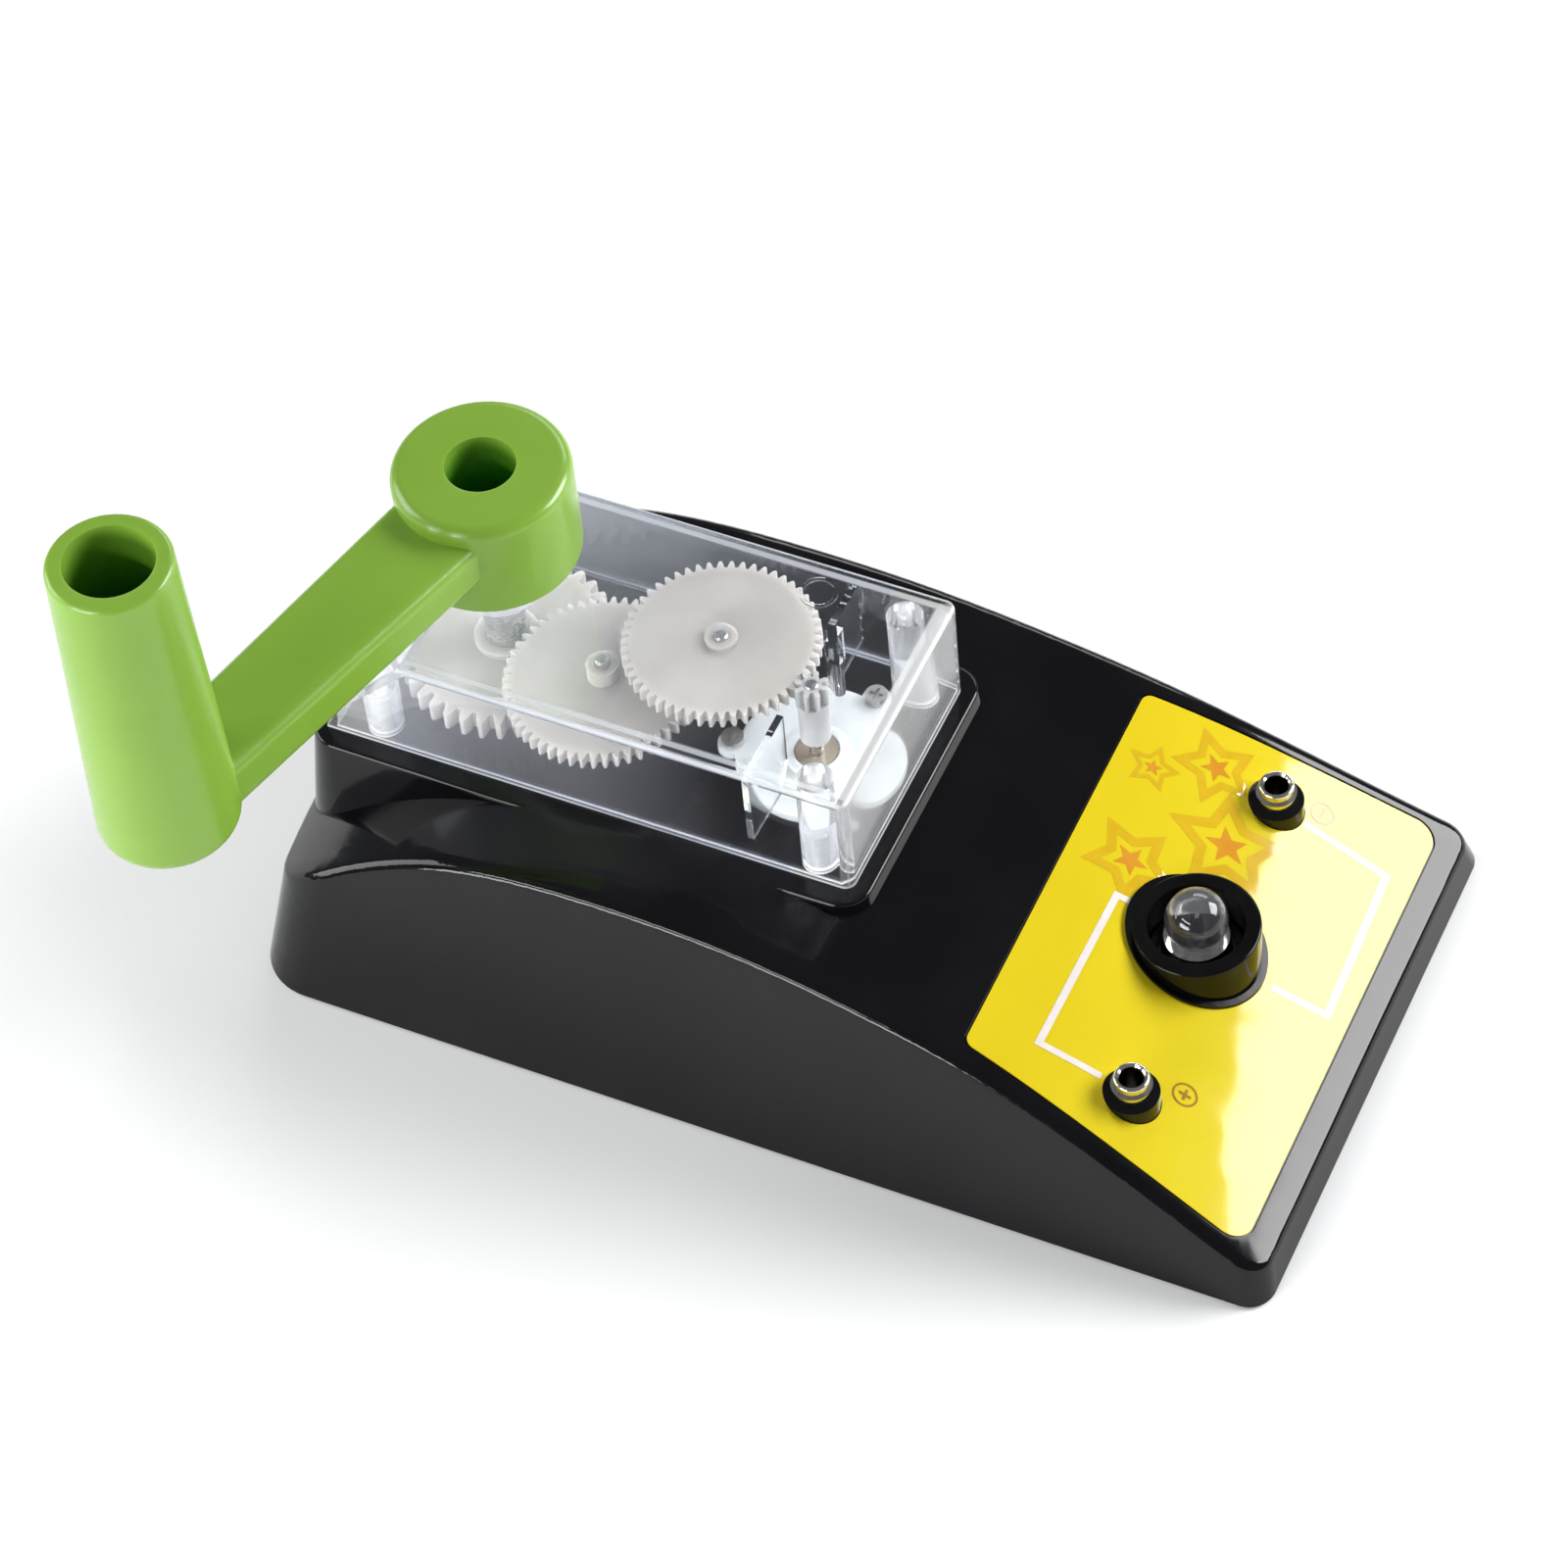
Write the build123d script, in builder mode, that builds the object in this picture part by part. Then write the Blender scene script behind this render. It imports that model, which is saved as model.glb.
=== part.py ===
from build123d import *
import math
import os

# Hand crank generator. Millimetres, +Z up. Origin: centre of the footprint on the
# surface the generator stands on. +X runs from the crank end to the lamp end.

# ------------------------------------------------------------------ driving sizes
HALF_LEN = 79.2          # right end of the base
LEFT_BULGE = 79.3        # left end of the base on its centre line
LEFT_SHOULDER = 76.0     # left end of the base near its corners
RIM_Z = 0.5              # lower rim of the shell above the surface
WALL = 2.0               # moulded wall of the base
LEAN = 11.3              # draft of the end walls, degrees
CORNER_L, CORNER_R = 9.5, 4.0
SIDE = [(42.60, 0.5), (39.82, 10.0), (37.40, 20.0), (35.50, 30.0), (34.12, 40.0)]
ARCH = [(-84.0, 6.9), (-77.1, 13.1), (-69.3, 19.3), (-59.2, 26.0), (-49.0, 30.7),
        (-38.0, 33.3), (-20.3, 34.35), (-0.9, 33.3), (18.6, 29.8), (35.5, 25.2),
        (52.4, 18.35), (68.0, 10.9), (84.0, 3.2)]

FLOOR_Z, FLOOR_T = 33.4, 2.2      # gearbox floor on the platform
PLAT_L, PLAT_R, PLAT_W = -72.7, 12.5, 22.5

COVER_L, COVER_R, COVER_W = -70.4, 10.14, 19.45
COVER_TOP, ROOF_T = 51.5, 1.8
SIDE_T = 1.3                      # front and back walls of the cover
POSTS = [(-62.8, -15.2), (-62.8, 15.2), (3.9, -15.2), (3.9, 15.2)]

CRANK = (-50.8, 0.0)              # gear axes
SECOND = (-33.65, -3.95)
THIRD = (-18.6, 3.37)
MOTOR = (-3.47, 0.0)
M_CRANK, N_CRANK, N_P2 = 0.8, 36, 8
M_FINE, N_WHEEL, N_P3, N_P4 = 0.5, 54, 13, 8

MOTOR_R, MOTOR_Z0 = 10.2, 8.4     # can radius, underside
HUB_R, HUB_Z0, HUB_Z1 = 12.55, 59.4, 76.0
HUB_BORE = 4.96
ARM_DIR, ARM_LEN = 255.0, 64.2
GRIP_R0, GRIP_R1, GRIP_Z0, GRIP_Z1, GRIP_BORE = 9.8, 8.35, 64.6, 116.6, 6.03

LAMP = (52.6, 0.0)
TERM_X, TERM_Y = 53.9, 26.9
TERM_BORE = 1.725
PLATE_SCREWS = [(-60.0, -32.0), (-60.0, 32.0), (60.0, -32.0), (60.0, 32.0)]
PLATE_T = 2.0            # bottom plate, its underside is the standing face
PLAT_EDGE = 0.6          # rounding of the step's upper edge
CROWN_R = 1.8            # rounding of the arched body's upper edge
EAR_R = 12.0
EARS = [(MOTOR[0] + EAR_R * math.cos(math.radians(a)),
         MOTOR[1] + EAR_R * math.sin(math.radians(a))) for a in (71.0, 191.0, 311.0)]

# Leaves of the three pinions as (radius, half angle), root to tip.
LEAF_P2 = [(2.3739, 0.21638), (2.5723, 0.20413), (2.8831, 0.19137), (3.194, 0.18548),
           (3.5048, 0.14326), (3.7535, 0.09712), (3.94, 0.05785)]
LEAF_P3 = [(2.7059, 0.14049), (2.8378, 0.13254), (3.0349, 0.12529), (3.2319, 0.11018),
           (3.429, 0.08662), (3.5866, 0.05944), (3.7049, 0.0395)]
LEAF_P4 = [(1.4637, 0.21222), (1.589, 0.2002), (1.7858, 0.18351), (1.9825, 0.18155),
           (2.1792, 0.13934), (2.3365, 0.09417), (2.4546, 0.0549)]


# ------------------------------------------------------------------ small helpers
def offset_arch(d):
    """Arch points moved down along their own normals by d."""
    pts = []
    for i, (x, z) in enumerate(ARCH):
        x0, z0 = ARCH[max(i - 1, 0)]
        x1, z1 = ARCH[min(i + 1, len(ARCH) - 1)]
        n = math.hypot(x1 - x0, z1 - z0)
        pts.append((x + d * (z1 - z0) / n, z - d * (x1 - x0) / n))
    return pts


def arch_z(x):
    for (x0, z0), (x1, z1) in zip(ARCH, ARCH[1:]):
        if x0 <= x <= x1:
            return z0 + (z1 - z0) * (x - x0) / (x1 - x0)
    return ARCH[-1][1]


def involute(a):
    return math.tan(a) - a


def wheel_flank(m, n):
    """Flank of a wheel tooth as (radius, half angle), root to tip, 20 degree involute."""
    a = math.radians(20)
    rp = m * n / 2
    rb = rp * math.cos(a)
    half = (math.pi * m / 2 - 0.05) / 2 / rp
    out = []
    for r in (rp - 1.25 * m, max(rb, rp - 0.75 * m), rp, rp + 0.95 * m):
        out.append((r, half + involute(a) - (involute(math.acos(rb / r)) if r >= rb else 0)))
    out[0] = (out[0][0], out[1][1] * 1.12)
    return out


def tooth_ring(flank, n, phase, centre):
    pts = []
    for i in range(n):
        c = phase + 2 * math.pi * i / n
        for r, a in flank:
            pts.append((centre[0] + r * math.cos(c - a), centre[1] + r * math.sin(c - a)))
        for r, a in reversed(flank):
            pts.append((centre[0] + r * math.cos(c + a), centre[1] + r * math.sin(c + a)))
    return pts


def mesh_phase(wheel_c, wheel_phase, n_wheel, pinion_c, n_pinion):
    """Phase of a pinion that puts its gap on the wheel's tooth."""
    b = math.atan2(pinion_c[1] - wheel_c[1], pinion_c[0] - wheel_c[0])
    u = (b - wheel_phase) / (2 * math.pi / n_wheel)
    v = 0.5 - u
    return b + math.pi - v * 2 * math.pi / n_pinion


PHASE_CRANK, PHASE_SECOND, PHASE_THIRD = 0.02, 0.05, 0.03
PHASE_P2 = mesh_phase(CRANK, PHASE_CRANK, N_CRANK, SECOND, N_P2)
PHASE_P3 = mesh_phase(SECOND, PHASE_SECOND, N_WHEEL, THIRD, N_P3)
PHASE_P4 = mesh_phase(THIRD, PHASE_THIRD, N_WHEEL, MOTOR, N_P4)


def base_block(inset, fillets):
    """Arched body of the base: drafted ends, concave leaning sides, arched top."""
    sides = [(w - inset, z) for w, z in SIDE]
    z0 = RIM_Z if fillets else -1.0
    if not fillets:
        sides = [(sides[0][0] + 0.5, -1.0)] + sides[1:]
    with BuildPart() as block:
        with BuildSketch(Plane.YZ.offset(-90)):
            with BuildLine():
                right = Spline(*sides)
                left = Spline(*[(-w, z) for w, z in sides])
                Line(right @ 1, left @ 1)
                Line(left @ 0, right @ 0)
            make_face()
        extrude(amount=180)
        with BuildSketch(Plane.XY.offset(z0)):
            with BuildLine():
                Line((HALF_LEN - inset, -52), (HALF_LEN - inset, 52))
                Line((HALF_LEN - inset, 52), (-LEFT_SHOULDER + inset + 2, 52))
                Line((-LEFT_SHOULDER + inset + 2, 52), (-LEFT_SHOULDER + inset, 35.5))
                ThreePointArc((-LEFT_SHOULDER + inset, 35.5), (-LEFT_BULGE + inset, 0),
                              (-LEFT_SHOULDER + inset, -35.5))
                Line((-LEFT_SHOULDER + inset, -35.5), (-LEFT_SHOULDER + inset + 2, -52))
                Line((-LEFT_SHOULDER + inset + 2, -52), (HALF_LEN - inset, -52))
            make_face()
        extrude(amount=44, taper=LEAN, mode=Mode.INTERSECT)
        upright = [e for e in block.edges()
                   if e.bounding_box().size.Z > 20 and abs(e.center().X) > 60
                   and abs(e.center().Y) > 28]
        rl, rr = CORNER_L - inset, max(CORNER_R - inset, 1.5)
        fillet([e for e in upright if e.center().X < 0], radius=rl)
        upright = [e for e in block.edges()
                   if e.bounding_box().size.Z > 20 and e.center().X > 60
                   and abs(e.center().Y) > 28 and e.bounding_box().size.X < 12]
        fillet(upright, radius=rr)
        with BuildSketch(Plane.XZ.offset(-60)):
            pts = offset_arch(inset)
            with BuildLine():
                top = Spline(*pts)
                Polyline(top @ 1, (pts[-1][0], -5), (pts[0][0], -5), top @ 0)
            make_face()
        extrude(amount=120, mode=Mode.INTERSECT)
        if fillets:
            crown = block.faces().sort_by(Axis.Z)[-1]
            fillet(crown.outer_wire().edges(), radius=CROWN_R)
    return block.part


def platform_block(inset, top, edge=0.0):
    """Step that carries the gearbox: rounded rectangle, drafted walls."""
    with BuildPart() as plat:
        with BuildSketch(Plane.XY.offset(top)):
            with Locations(((PLAT_L + PLAT_R) / 2, 0)):
                RectangleRounded(PLAT_R - PLAT_L - 2 * inset, 2 * (PLAT_W - inset),
                                 4.5 - inset)
        extrude(amount=-(top - 6.0), taper=-7)
        if edge:
            fillet(plat.faces().sort_by(Axis.Z)[-1].outer_wire().edges(), radius=edge)
    return plat.part


# ------------------------------------------------------------------ base shell
outer_arch = base_block(0.0, True)
inner_arch = base_block(WALL, False)
outer_plat = platform_block(0.0, FLOOR_Z, PLAT_EDGE)
inner_plat = platform_block(WALL, FLOOR_Z - FLOOR_T)

with BuildPart() as posts_inside:
    with BuildSketch(Plane.XY.offset(PLATE_T)):
        with Locations(*PLATE_SCREWS):
            Circle(3.2)
    extrude(amount=37)
    with BuildSketch(Plane.XY.offset(12.6)):
        with Locations((TERM_X, -TERM_Y), (TERM_X, TERM_Y)):
            Circle(4.6)
    extrude(amount=12)
    with BuildSketch(Plane.XY.offset(6.9)):
        with Locations(MOTOR):
            Circle(12.0)
    extrude(amount=FLOOR_Z - 6.9)
    with BuildSketch(Plane.XY.offset(25.0)):
        with Locations(*EARS):
            Circle(2.4)
    extrude(amount=FLOOR_Z - 25.0)
    add(outer_arch + outer_plat, mode=Mode.INTERSECT)

with BuildPart() as base_shell:
    add(outer_arch)
    add(outer_plat)
    # the gearbox ledge lies slightly below the crown of the arch
    with BuildSketch(Plane.XY.offset(FLOOR_Z)):
        with Locations(((PLAT_L + PLAT_R) / 2, 0)):
            RectangleRounded(PLAT_R - PLAT_L, 2 * PLAT_W, 4.5)
    extrude(amount=8, mode=Mode.SUBTRACT)
    add(inner_arch, mode=Mode.SUBTRACT)
    add(inner_plat, mode=Mode.SUBTRACT)
    add(posts_inside.part)
    # bearing bosses on the gearbox floor
    with BuildSketch(Plane.XY.offset(FLOOR_Z - 1.0)):
        with Locations(CRANK):
            Circle(4.0)
    extrude(amount=3.3)
    with BuildSketch(Plane.XY.offset(FLOOR_Z - 1.0)):
        with Locations(SECOND):
            Circle(2.9)
    extrude(amount=2.9)
    with BuildSketch(Plane.XY.offset(FLOOR_Z - 1.0)):
        with Locations(THIRD):
            Circle(2.9)
    extrude(amount=7.1)
    # bosses under the pin seats
    with BuildSketch(Plane.XY.offset(FLOOR_Z - FLOOR_T - 3.0)):
        with Locations(CRANK, SECOND, THIRD):
            Circle(4.0)
    extrude(amount=3.5)
    # flat topped lands round the two sockets on the sloping panel
    with BuildSketch(Plane.XY.offset(12.6)):
        with Locations((TERM_X, -TERM_Y), (TERM_X, TERM_Y)):
            Circle(3.9)
    extrude(amount=6.2)
    # motor well
    with BuildSketch(Plane.XY.offset(MOTOR_Z0)):
        with Locations(MOTOR):
            Circle(MOTOR_R + 0.2)
    extrude(amount=40, mode=Mode.SUBTRACT)
    with BuildSketch(Plane.XY.offset(5)):
        with Locations(MOTOR):
            Circle(8.0)
    extrude(amount=8, mode=Mode.SUBTRACT)
    # pin seats and crank bearing
    with BuildSketch(Plane.XY.offset(31.0)):
        with Locations(SECOND, THIRD):
            Circle(1.0)
    extrude(amount=20, mode=Mode.SUBTRACT)
    with BuildSketch(Plane.XY.offset(31.6)):
        with Locations(CRANK):
            Circle(2.05)
    extrude(amount=20, mode=Mode.SUBTRACT)
    # screw holes: cover screws through the floor, retainer screws, plate screws
    with BuildSketch(Plane.XY.offset(25)):
        with Locations(*POSTS):
            Circle(1.45)
    extrude(amount=12, mode=Mode.SUBTRACT)
    with BuildSketch(Plane.XY.offset(26.5)):
        with Locations(*EARS):
            Circle(0.8)
    extrude(amount=12, mode=Mode.SUBTRACT)
    with BuildSketch(Plane.XY.offset(PLATE_T - 0.5)):
        with Locations(*PLATE_SCREWS):
            Circle(1.1)
    extrude(amount=7.5, mode=Mode.SUBTRACT)
    # small moulded pip on the gearbox floor
    with BuildSketch(Plane.XY.offset(FLOOR_Z - 0.5)):
        with Locations((-37.3, -14.9)):
            Circle(1.0)
    extrude(amount=1.3)
    # hole of the lamp holder and of the two sockets
    with BuildSketch(Plane.XY.offset(2)):
        with Locations(LAMP):
            Circle(9.15)
    extrude(amount=40, mode=Mode.SUBTRACT)
    with BuildSketch(Plane.XY.offset(10)):
        with Locations((TERM_X, -TERM_Y), (TERM_X, TERM_Y)):
            Circle(2.05)
    extrude(amount=20, mode=Mode.SUBTRACT)

# recess of the label: a band 0.3 deep under the panel, bounded by the label outline
LABEL = [(31.97, -32.5), (74.3, -38.0), (74.3, 38.0), (31.97, 32.5)]


def panel_band(top, bottom, grow):
    """Band of the arch between two depths, inside the label outline."""
    with BuildPart() as band:
        with BuildSketch(Plane.XZ.offset(-60)):
            with BuildLine():
                a = Spline(*offset_arch(top))
                b = Spline(*offset_arch(bottom))
                Line(a @ 0, b @ 0)
                Line(b @ 1, a @ 1)
            make_face()
        extrude(amount=120)
        with BuildSketch(Plane.XY.offset(-5)):
            with BuildLine():
                Polyline(*LABEL, close=True)
            make_face()
            fillet(vertices().sort_by(Axis.X)[-2:], radius=3.0)
            fillet(vertices().sort_by(Axis.X)[:2], radius=1.5)
            if grow:
                offset(amount=grow)
        extrude(amount=60, mode=Mode.INTERSECT)
    return band.part


with BuildPart() as label_cut:
    add(panel_band(-3.0, 0.3, 0.3))
    with BuildSketch(Plane.XY.offset(5)):
        with Locations((TERM_X, -TERM_Y), (TERM_X, TERM_Y)):
            Circle(3.9)
    extrude(amount=30, mode=Mode.SUBTRACT)

with base_shell:
    add(label_cut.part, mode=Mode.SUBTRACT)

base_shell.part.label = "base_shell"

# ------------------------------------------------------------------ label
with BuildPart() as panel_label:
    add(panel_band(0.04, 0.3, 0.0))
    with BuildSketch(Plane.XY.offset(0)):
        with Locations(LAMP):
            Circle(9.2)
        with Locations((TERM_X, -TERM_Y), (TERM_X, TERM_Y)):
            Circle(4.0)
    extrude(amount=40, mode=Mode.SUBTRACT)
panel_label.part.label = "panel_label"

# ------------------------------------------------------------------ bottom
with BuildPart() as bottom_plate:
    with BuildSketch(Plane.XY):
        with BuildLine():
            Line((76.2, -39.4), (76.2, 39.4))
            Line((76.2, 39.4), (-73.6, 39.4))
            Line((-73.6, 39.4), (-73.6, 31.0))
            ThreePointArc((-73.6, 31.0), (-76.3, 0), (-73.6, -31.0))
            Line((-73.6, -31.0), (-73.6, -39.4))
            Line((-73.6, -39.4), (76.2, -39.4))
        make_face()
    extrude(amount=PLATE_T)
    left = [e for e in bottom_plate.edges().filter_by(Axis.Z) if e.center().X < 0
            and abs(e.center().Y) > 37]
    fillet(left, radius=7.5)
    right = [e for e in bottom_plate.edges().filter_by(Axis.Z) if e.center().X > 70]
    fillet(right, radius=2.4)
    with BuildSketch(Plane.XY.offset(-0.5)):
        with Locations(*PLATE_SCREWS):
            Circle(2.9)
    extrude(amount=1.7, mode=Mode.SUBTRACT)
    with BuildSketch(Plane.XY.offset(-0.5)):
        with Locations(*PLATE_SCREWS):
            Circle(1.4)
    extrude(amount=4, mode=Mode.SUBTRACT)
    # two rows of small vent slots under the motor, clear of the centre of the plate
    with BuildSketch(Plane.XY.offset(-0.5)):
        with GridLocations(6.0, 36.0, 5, 2):
            SlotOverall(14, 2.0, rotation=90)
    extrude(amount=4, mode=Mode.SUBTRACT)
bottom_plate.part.label = "bottom_plate"

with BuildPart() as bottom_screws:
    with BuildSketch(Plane.XY.offset(0.2)):
        with Locations(*PLATE_SCREWS):
            Circle(2.6)
    extrude(amount=1.0)
    with BuildSketch(Plane.XY.offset(1.1)):
        with Locations(*PLATE_SCREWS):
            Circle(1.05)
    extrude(amount=7.2)
    with BuildSketch(Plane.XY.offset(0.0)):
        for x, y in PLATE_SCREWS:
            with Locations((x, y)):
                Rectangle(2.8, 0.6)
                Rectangle(0.6, 2.8)
    extrude(amount=0.8, mode=Mode.SUBTRACT)
bottom_screws.part.label = "bottom_screws"

# ------------------------------------------------------------------ clear cover
with BuildPart() as gear_cover:
    with BuildSketch(Plane.XZ.offset(-COVER_W)):
        with BuildLine():
            Polyline((COVER_L, FLOOR_Z), (-69.7, 38.2), (-57.0, COVER_TOP),
                     (COVER_R, COVER_TOP), (COVER_R, FLOOR_Z), close=True)
        make_face()
    extrude(amount=2 * COVER_W)
    fillet([e for e in gear_cover.edges().filter_by(Axis.Z) if e.center().X > 0],
           radius=1.6)
    fillet(gear_cover.faces().sort_by(Axis.Z)[-1].edges(), radius=0.8)
    with BuildSketch(Plane.XZ.offset(-(COVER_W - SIDE_T))):
        with BuildLine():
            Polyline((-69.2, FLOOR_Z - 1), (-68.6, 37.2), (-56.6, COVER_TOP - ROOF_T),
                     (COVER_R - 1.8, COVER_TOP - ROOF_T), (COVER_R - 1.8, FLOOR_Z - 1),
                     close=True)
        make_face()
    extrude(amount=2 * (COVER_W - SIDE_T), mode=Mode.SUBTRACT)
    # corner posts, from the floor into the roof or against the sloping end
    with BuildSketch(Plane.XY.offset(FLOOR_Z)):
        with Locations(*POSTS[2:]):
            Circle(2.6)
    extrude(amount=COVER_TOP - 1.0 - FLOOR_Z)
    with BuildSketch(Plane.XY.offset(FLOOR_Z)):
        with Locations(*POSTS[:2]):
            Circle(2.6)
    extrude(amount=9.0)
    # cross rib in two halves, with a bearing lug near the motor pinion
    with BuildSketch(Plane.YZ.offset(-5.4)):
        with BuildLine():
            Polyline((9.0, 50.2), (9.0, 40.5), (11.5, 37.5), (18.6, 37.5), (18.6, 50.2),
                     close=True)
        make_face()
        with BuildLine():
            Polyline((-18.6, 50.2), (-18.6, 37.5), (-9.0, 37.5), (-7.0, 40.5),
                     (-7.0, 50.2), close=True)
        make_face()
    extrude(amount=1.0)
    # rounded lug at the end of the rib, beside the motor pinion
    with BuildSketch(Plane.XY.offset(43.0)):
        with BuildLine():
            Line((-3.2, 10.2), (-4.9, 10.2))
            Line((-4.9, 10.2), (-4.9, 9.4))
            Line((-4.9, 9.4), (-4.5, 7.6))
            ThreePointArc((-4.5, 7.6), (-3.9, 5.6), (-2.4, 4.1))
            ThreePointArc((-2.4, 4.1), (-1.1, 3.9), (-1.0, 5.2))
            ThreePointArc((-1.0, 5.2), (-2.6, 6.7), (-3.2, 8.6))
            Line((-3.2, 8.6), (-3.2, 10.2))
        make_face()
    extrude(amount=7.2)
    # round moulding mark under the roof
    with BuildSketch(Plane.XY.offset(COVER_TOP - ROOF_T - 0.3)):
        with Locations((-8.9, 14.9)):
            Circle(2.7)
            Circle(2.2, mode=Mode.SUBTRACT)
    extrude(amount=0.5)
    # upper bearing of the crank shaft
    with BuildSketch(Plane.XY.offset(COVER_TOP - 0.9)):
        with Locations(CRANK):
            Circle(5.5)
    extrude(amount=3.6)
    with BuildSketch(Plane.XY.offset(40)):
        with Locations(CRANK):
            Circle(3.06)
    extrude(amount=30, mode=Mode.SUBTRACT)
    # blind screw holes in the posts
    with BuildSketch(Plane.XY.offset(FLOOR_Z - 1)):
        with Locations(*POSTS):
            Circle(1.05)
    extrude(amount=8.5, mode=Mode.SUBTRACT)
gear_cover.part.label = "gear_cover"

with BuildPart() as cover_screws:
    with BuildSketch(Plane.XY.offset(FLOOR_Z - FLOOR_T - 1.6)):
        with Locations(*POSTS):
            Circle(2.4)
    extrude(amount=1.6)
    with BuildSketch(Plane.XY.offset(FLOOR_Z - FLOOR_T - 0.2)):
        with Locations(*POSTS):
            Circle(1.0)
    extrude(amount=9.0)
    with BuildSketch(Plane.XY.offset(FLOOR_Z - FLOOR_T - 1.7)):
        for x, y in POSTS:
            with Locations((x, y)):
                Rectangle(2.8, 0.6)
                Rectangle(0.6, 2.8)
    extrude(amount=0.8, mode=Mode.SUBTRACT)
cover_screws.part.label = "cover_screws"

# ------------------------------------------------------------------ gear axles
with BuildPart() as second_axle:
    with BuildSketch(Plane.XY.offset(31.0)):
        with Locations(SECOND):
            Circle(1.0)
    extrude(amount=14.9)
    chamfer(second_axle.faces().sort_by(Axis.Z)[-1].edges(), length=0.25)
second_axle.part.label = "second_axle"

with BuildPart() as third_axle:
    with BuildSketch(Plane.XY.offset(31.0)):
        with Locations(THIRD):
            Circle(1.0)
    extrude(amount=18.4)
    chamfer(third_axle.faces().sort_by(Axis.Z)[-1].edges(), length=0.25)
third_axle.part.label = "third_axle"

# ------------------------------------------------------------------ crank
with BuildPart() as crank_shaft:
    with BuildSketch(Plane.XY.offset(31.9)):
        with Locations(CRANK):
            Circle(2.0)
    extrude(amount=4.2)
    with BuildSketch(Plane.XY.offset(36.0)):
        with Locations(CRANK):
            Circle(3.0)
    extrude(amount=18.4)
    with BuildSketch(Plane.XY.offset(54.4)):
        with Locations(CRANK):
            Circle(3.0)
        with Locations(CRANK):
            Rectangle(4.9, 8, mode=Mode.INTERSECT)
    extrude(amount=7.8)
    with BuildSketch(Plane.XY.offset(54.0)):
        with Locations(CRANK):
            Circle(1.1)
    extrude(amount=10, mode=Mode.SUBTRACT)
crank_shaft.part.label = "crank_shaft"

with BuildPart() as crank_gear:
    with BuildSketch(Plane.XY.offset(36.2)):
        with BuildLine():
            Polyline(*tooth_ring(wheel_flank(M_CRANK, N_CRANK), N_CRANK, PHASE_CRANK,
                                 CRANK), close=True)
        make_face()
    extrude(amount=3.0)
    with BuildSketch(Plane.XY.offset(39.0)):
        with Locations(CRANK):
            Circle(4.5)
    extrude(amount=1.2)
    with BuildSketch(Plane.XY.offset(35)):
        with Locations(CRANK):
            Circle(3.0)
    extrude(amount=10, mode=Mode.SUBTRACT)
crank_gear.part.label = "crank_gear"

ca, sa = math.cos(math.radians(ARM_DIR)), math.sin(math.radians(ARM_DIR))
GRIP = (CRANK[0] + ARM_LEN * ca, CRANK[1] + ARM_LEN * sa)


def arm_plane(dist, z):
    return Plane(origin=(CRANK[0] + dist * ca, CRANK[1] + dist * sa, z),
                 x_dir=(-sa, ca, 0), z_dir=(ca, sa, 0))


with BuildPart() as crank_handle:
    # hub with rounded top edge and a neck over the shaft
    with BuildSketch(Plane.XY.offset(HUB_Z0)):
        with Locations(CRANK):
            Circle(HUB_R)
    extrude(amount=HUB_Z1 - HUB_Z0)
    # arm, tapering towards the grip
    with BuildSketch(arm_plane(4.0, 69.3)):
        RectangleRounded(15.6, 7.4, 2.0)
    with BuildSketch(arm_plane(ARM_LEN - 1.0, 68.75)):
        RectangleRounded(13.1, 8.5, 2.0)
    loft()
    # grip: tapered tube standing on the end of the arm
    with BuildSketch(Plane.XY.offset(GRIP_Z0)):
        with Locations(GRIP):
            Circle(GRIP_R0)
    with BuildSketch(Plane.XY.offset(GRIP_Z1)):
        with Locations(GRIP):
            Circle(GRIP_R1)
    loft()
    round_edges = [e for e in crank_handle.edges()
                   if e.geom_type == GeomType.CIRCLE
                   and (abs(e.center().Z - HUB_Z1) < 0.01 or abs(e.center().Z - GRIP_Z1) < 0.01)]
    fillet([e for e in round_edges if e.center().Z < 100], radius=1.8)
    fillet([e for e in crank_handle.edges() if e.geom_type == GeomType.CIRCLE
            and abs(e.center().Z - GRIP_Z1) < 0.01], radius=0.9)
    fillet([e for e in crank_handle.edges() if e.geom_type == GeomType.CIRCLE
            and abs(e.center().Z - GRIP_Z0) < 0.01 and e.length > 40], radius=2.4)
    fillet([e for e in crank_handle.edges() if e.geom_type == GeomType.CIRCLE
            and abs(e.center().Z - HUB_Z0) < 0.01 and e.length > 40], radius=0.8)
    with BuildSketch(Plane.XY.offset(54.4)):
        with Locations(CRANK):
            Circle(5.0)
    extrude(amount=6.0)
    # deep counterbore for the screw, web, socket for the shaft
    with BuildSketch(Plane.XY.offset(64.4)):
        with Locations(CRANK):
            Circle(HUB_BORE)
    extrude(amount=20, mode=Mode.SUBTRACT)
    with BuildSketch(Plane.XY.offset(50)):
        with Locations(CRANK):
            Circle(3.05)
        with Locations(CRANK):
            Rectangle(5.0, 8, mode=Mode.INTERSECT)
    extrude(amount=12.3, mode=Mode.SUBTRACT)
    with BuildSketch(Plane.XY.offset(60)):
        with Locations(CRANK):
            Circle(1.35)
    extrude(amount=6, mode=Mode.SUBTRACT)
    # hollow of the grip
    with BuildSketch(Plane.XY.offset(69.0)):
        with Locations(GRIP):
            Circle(GRIP_BORE - 0.25)
    with BuildSketch(Plane.XY.offset(GRIP_Z1 + 1.0)):
        with Locations(GRIP):
            Circle(GRIP_BORE)
    loft(mode=Mode.SUBTRACT)
crank_handle.part.label = "crank_handle"

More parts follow.
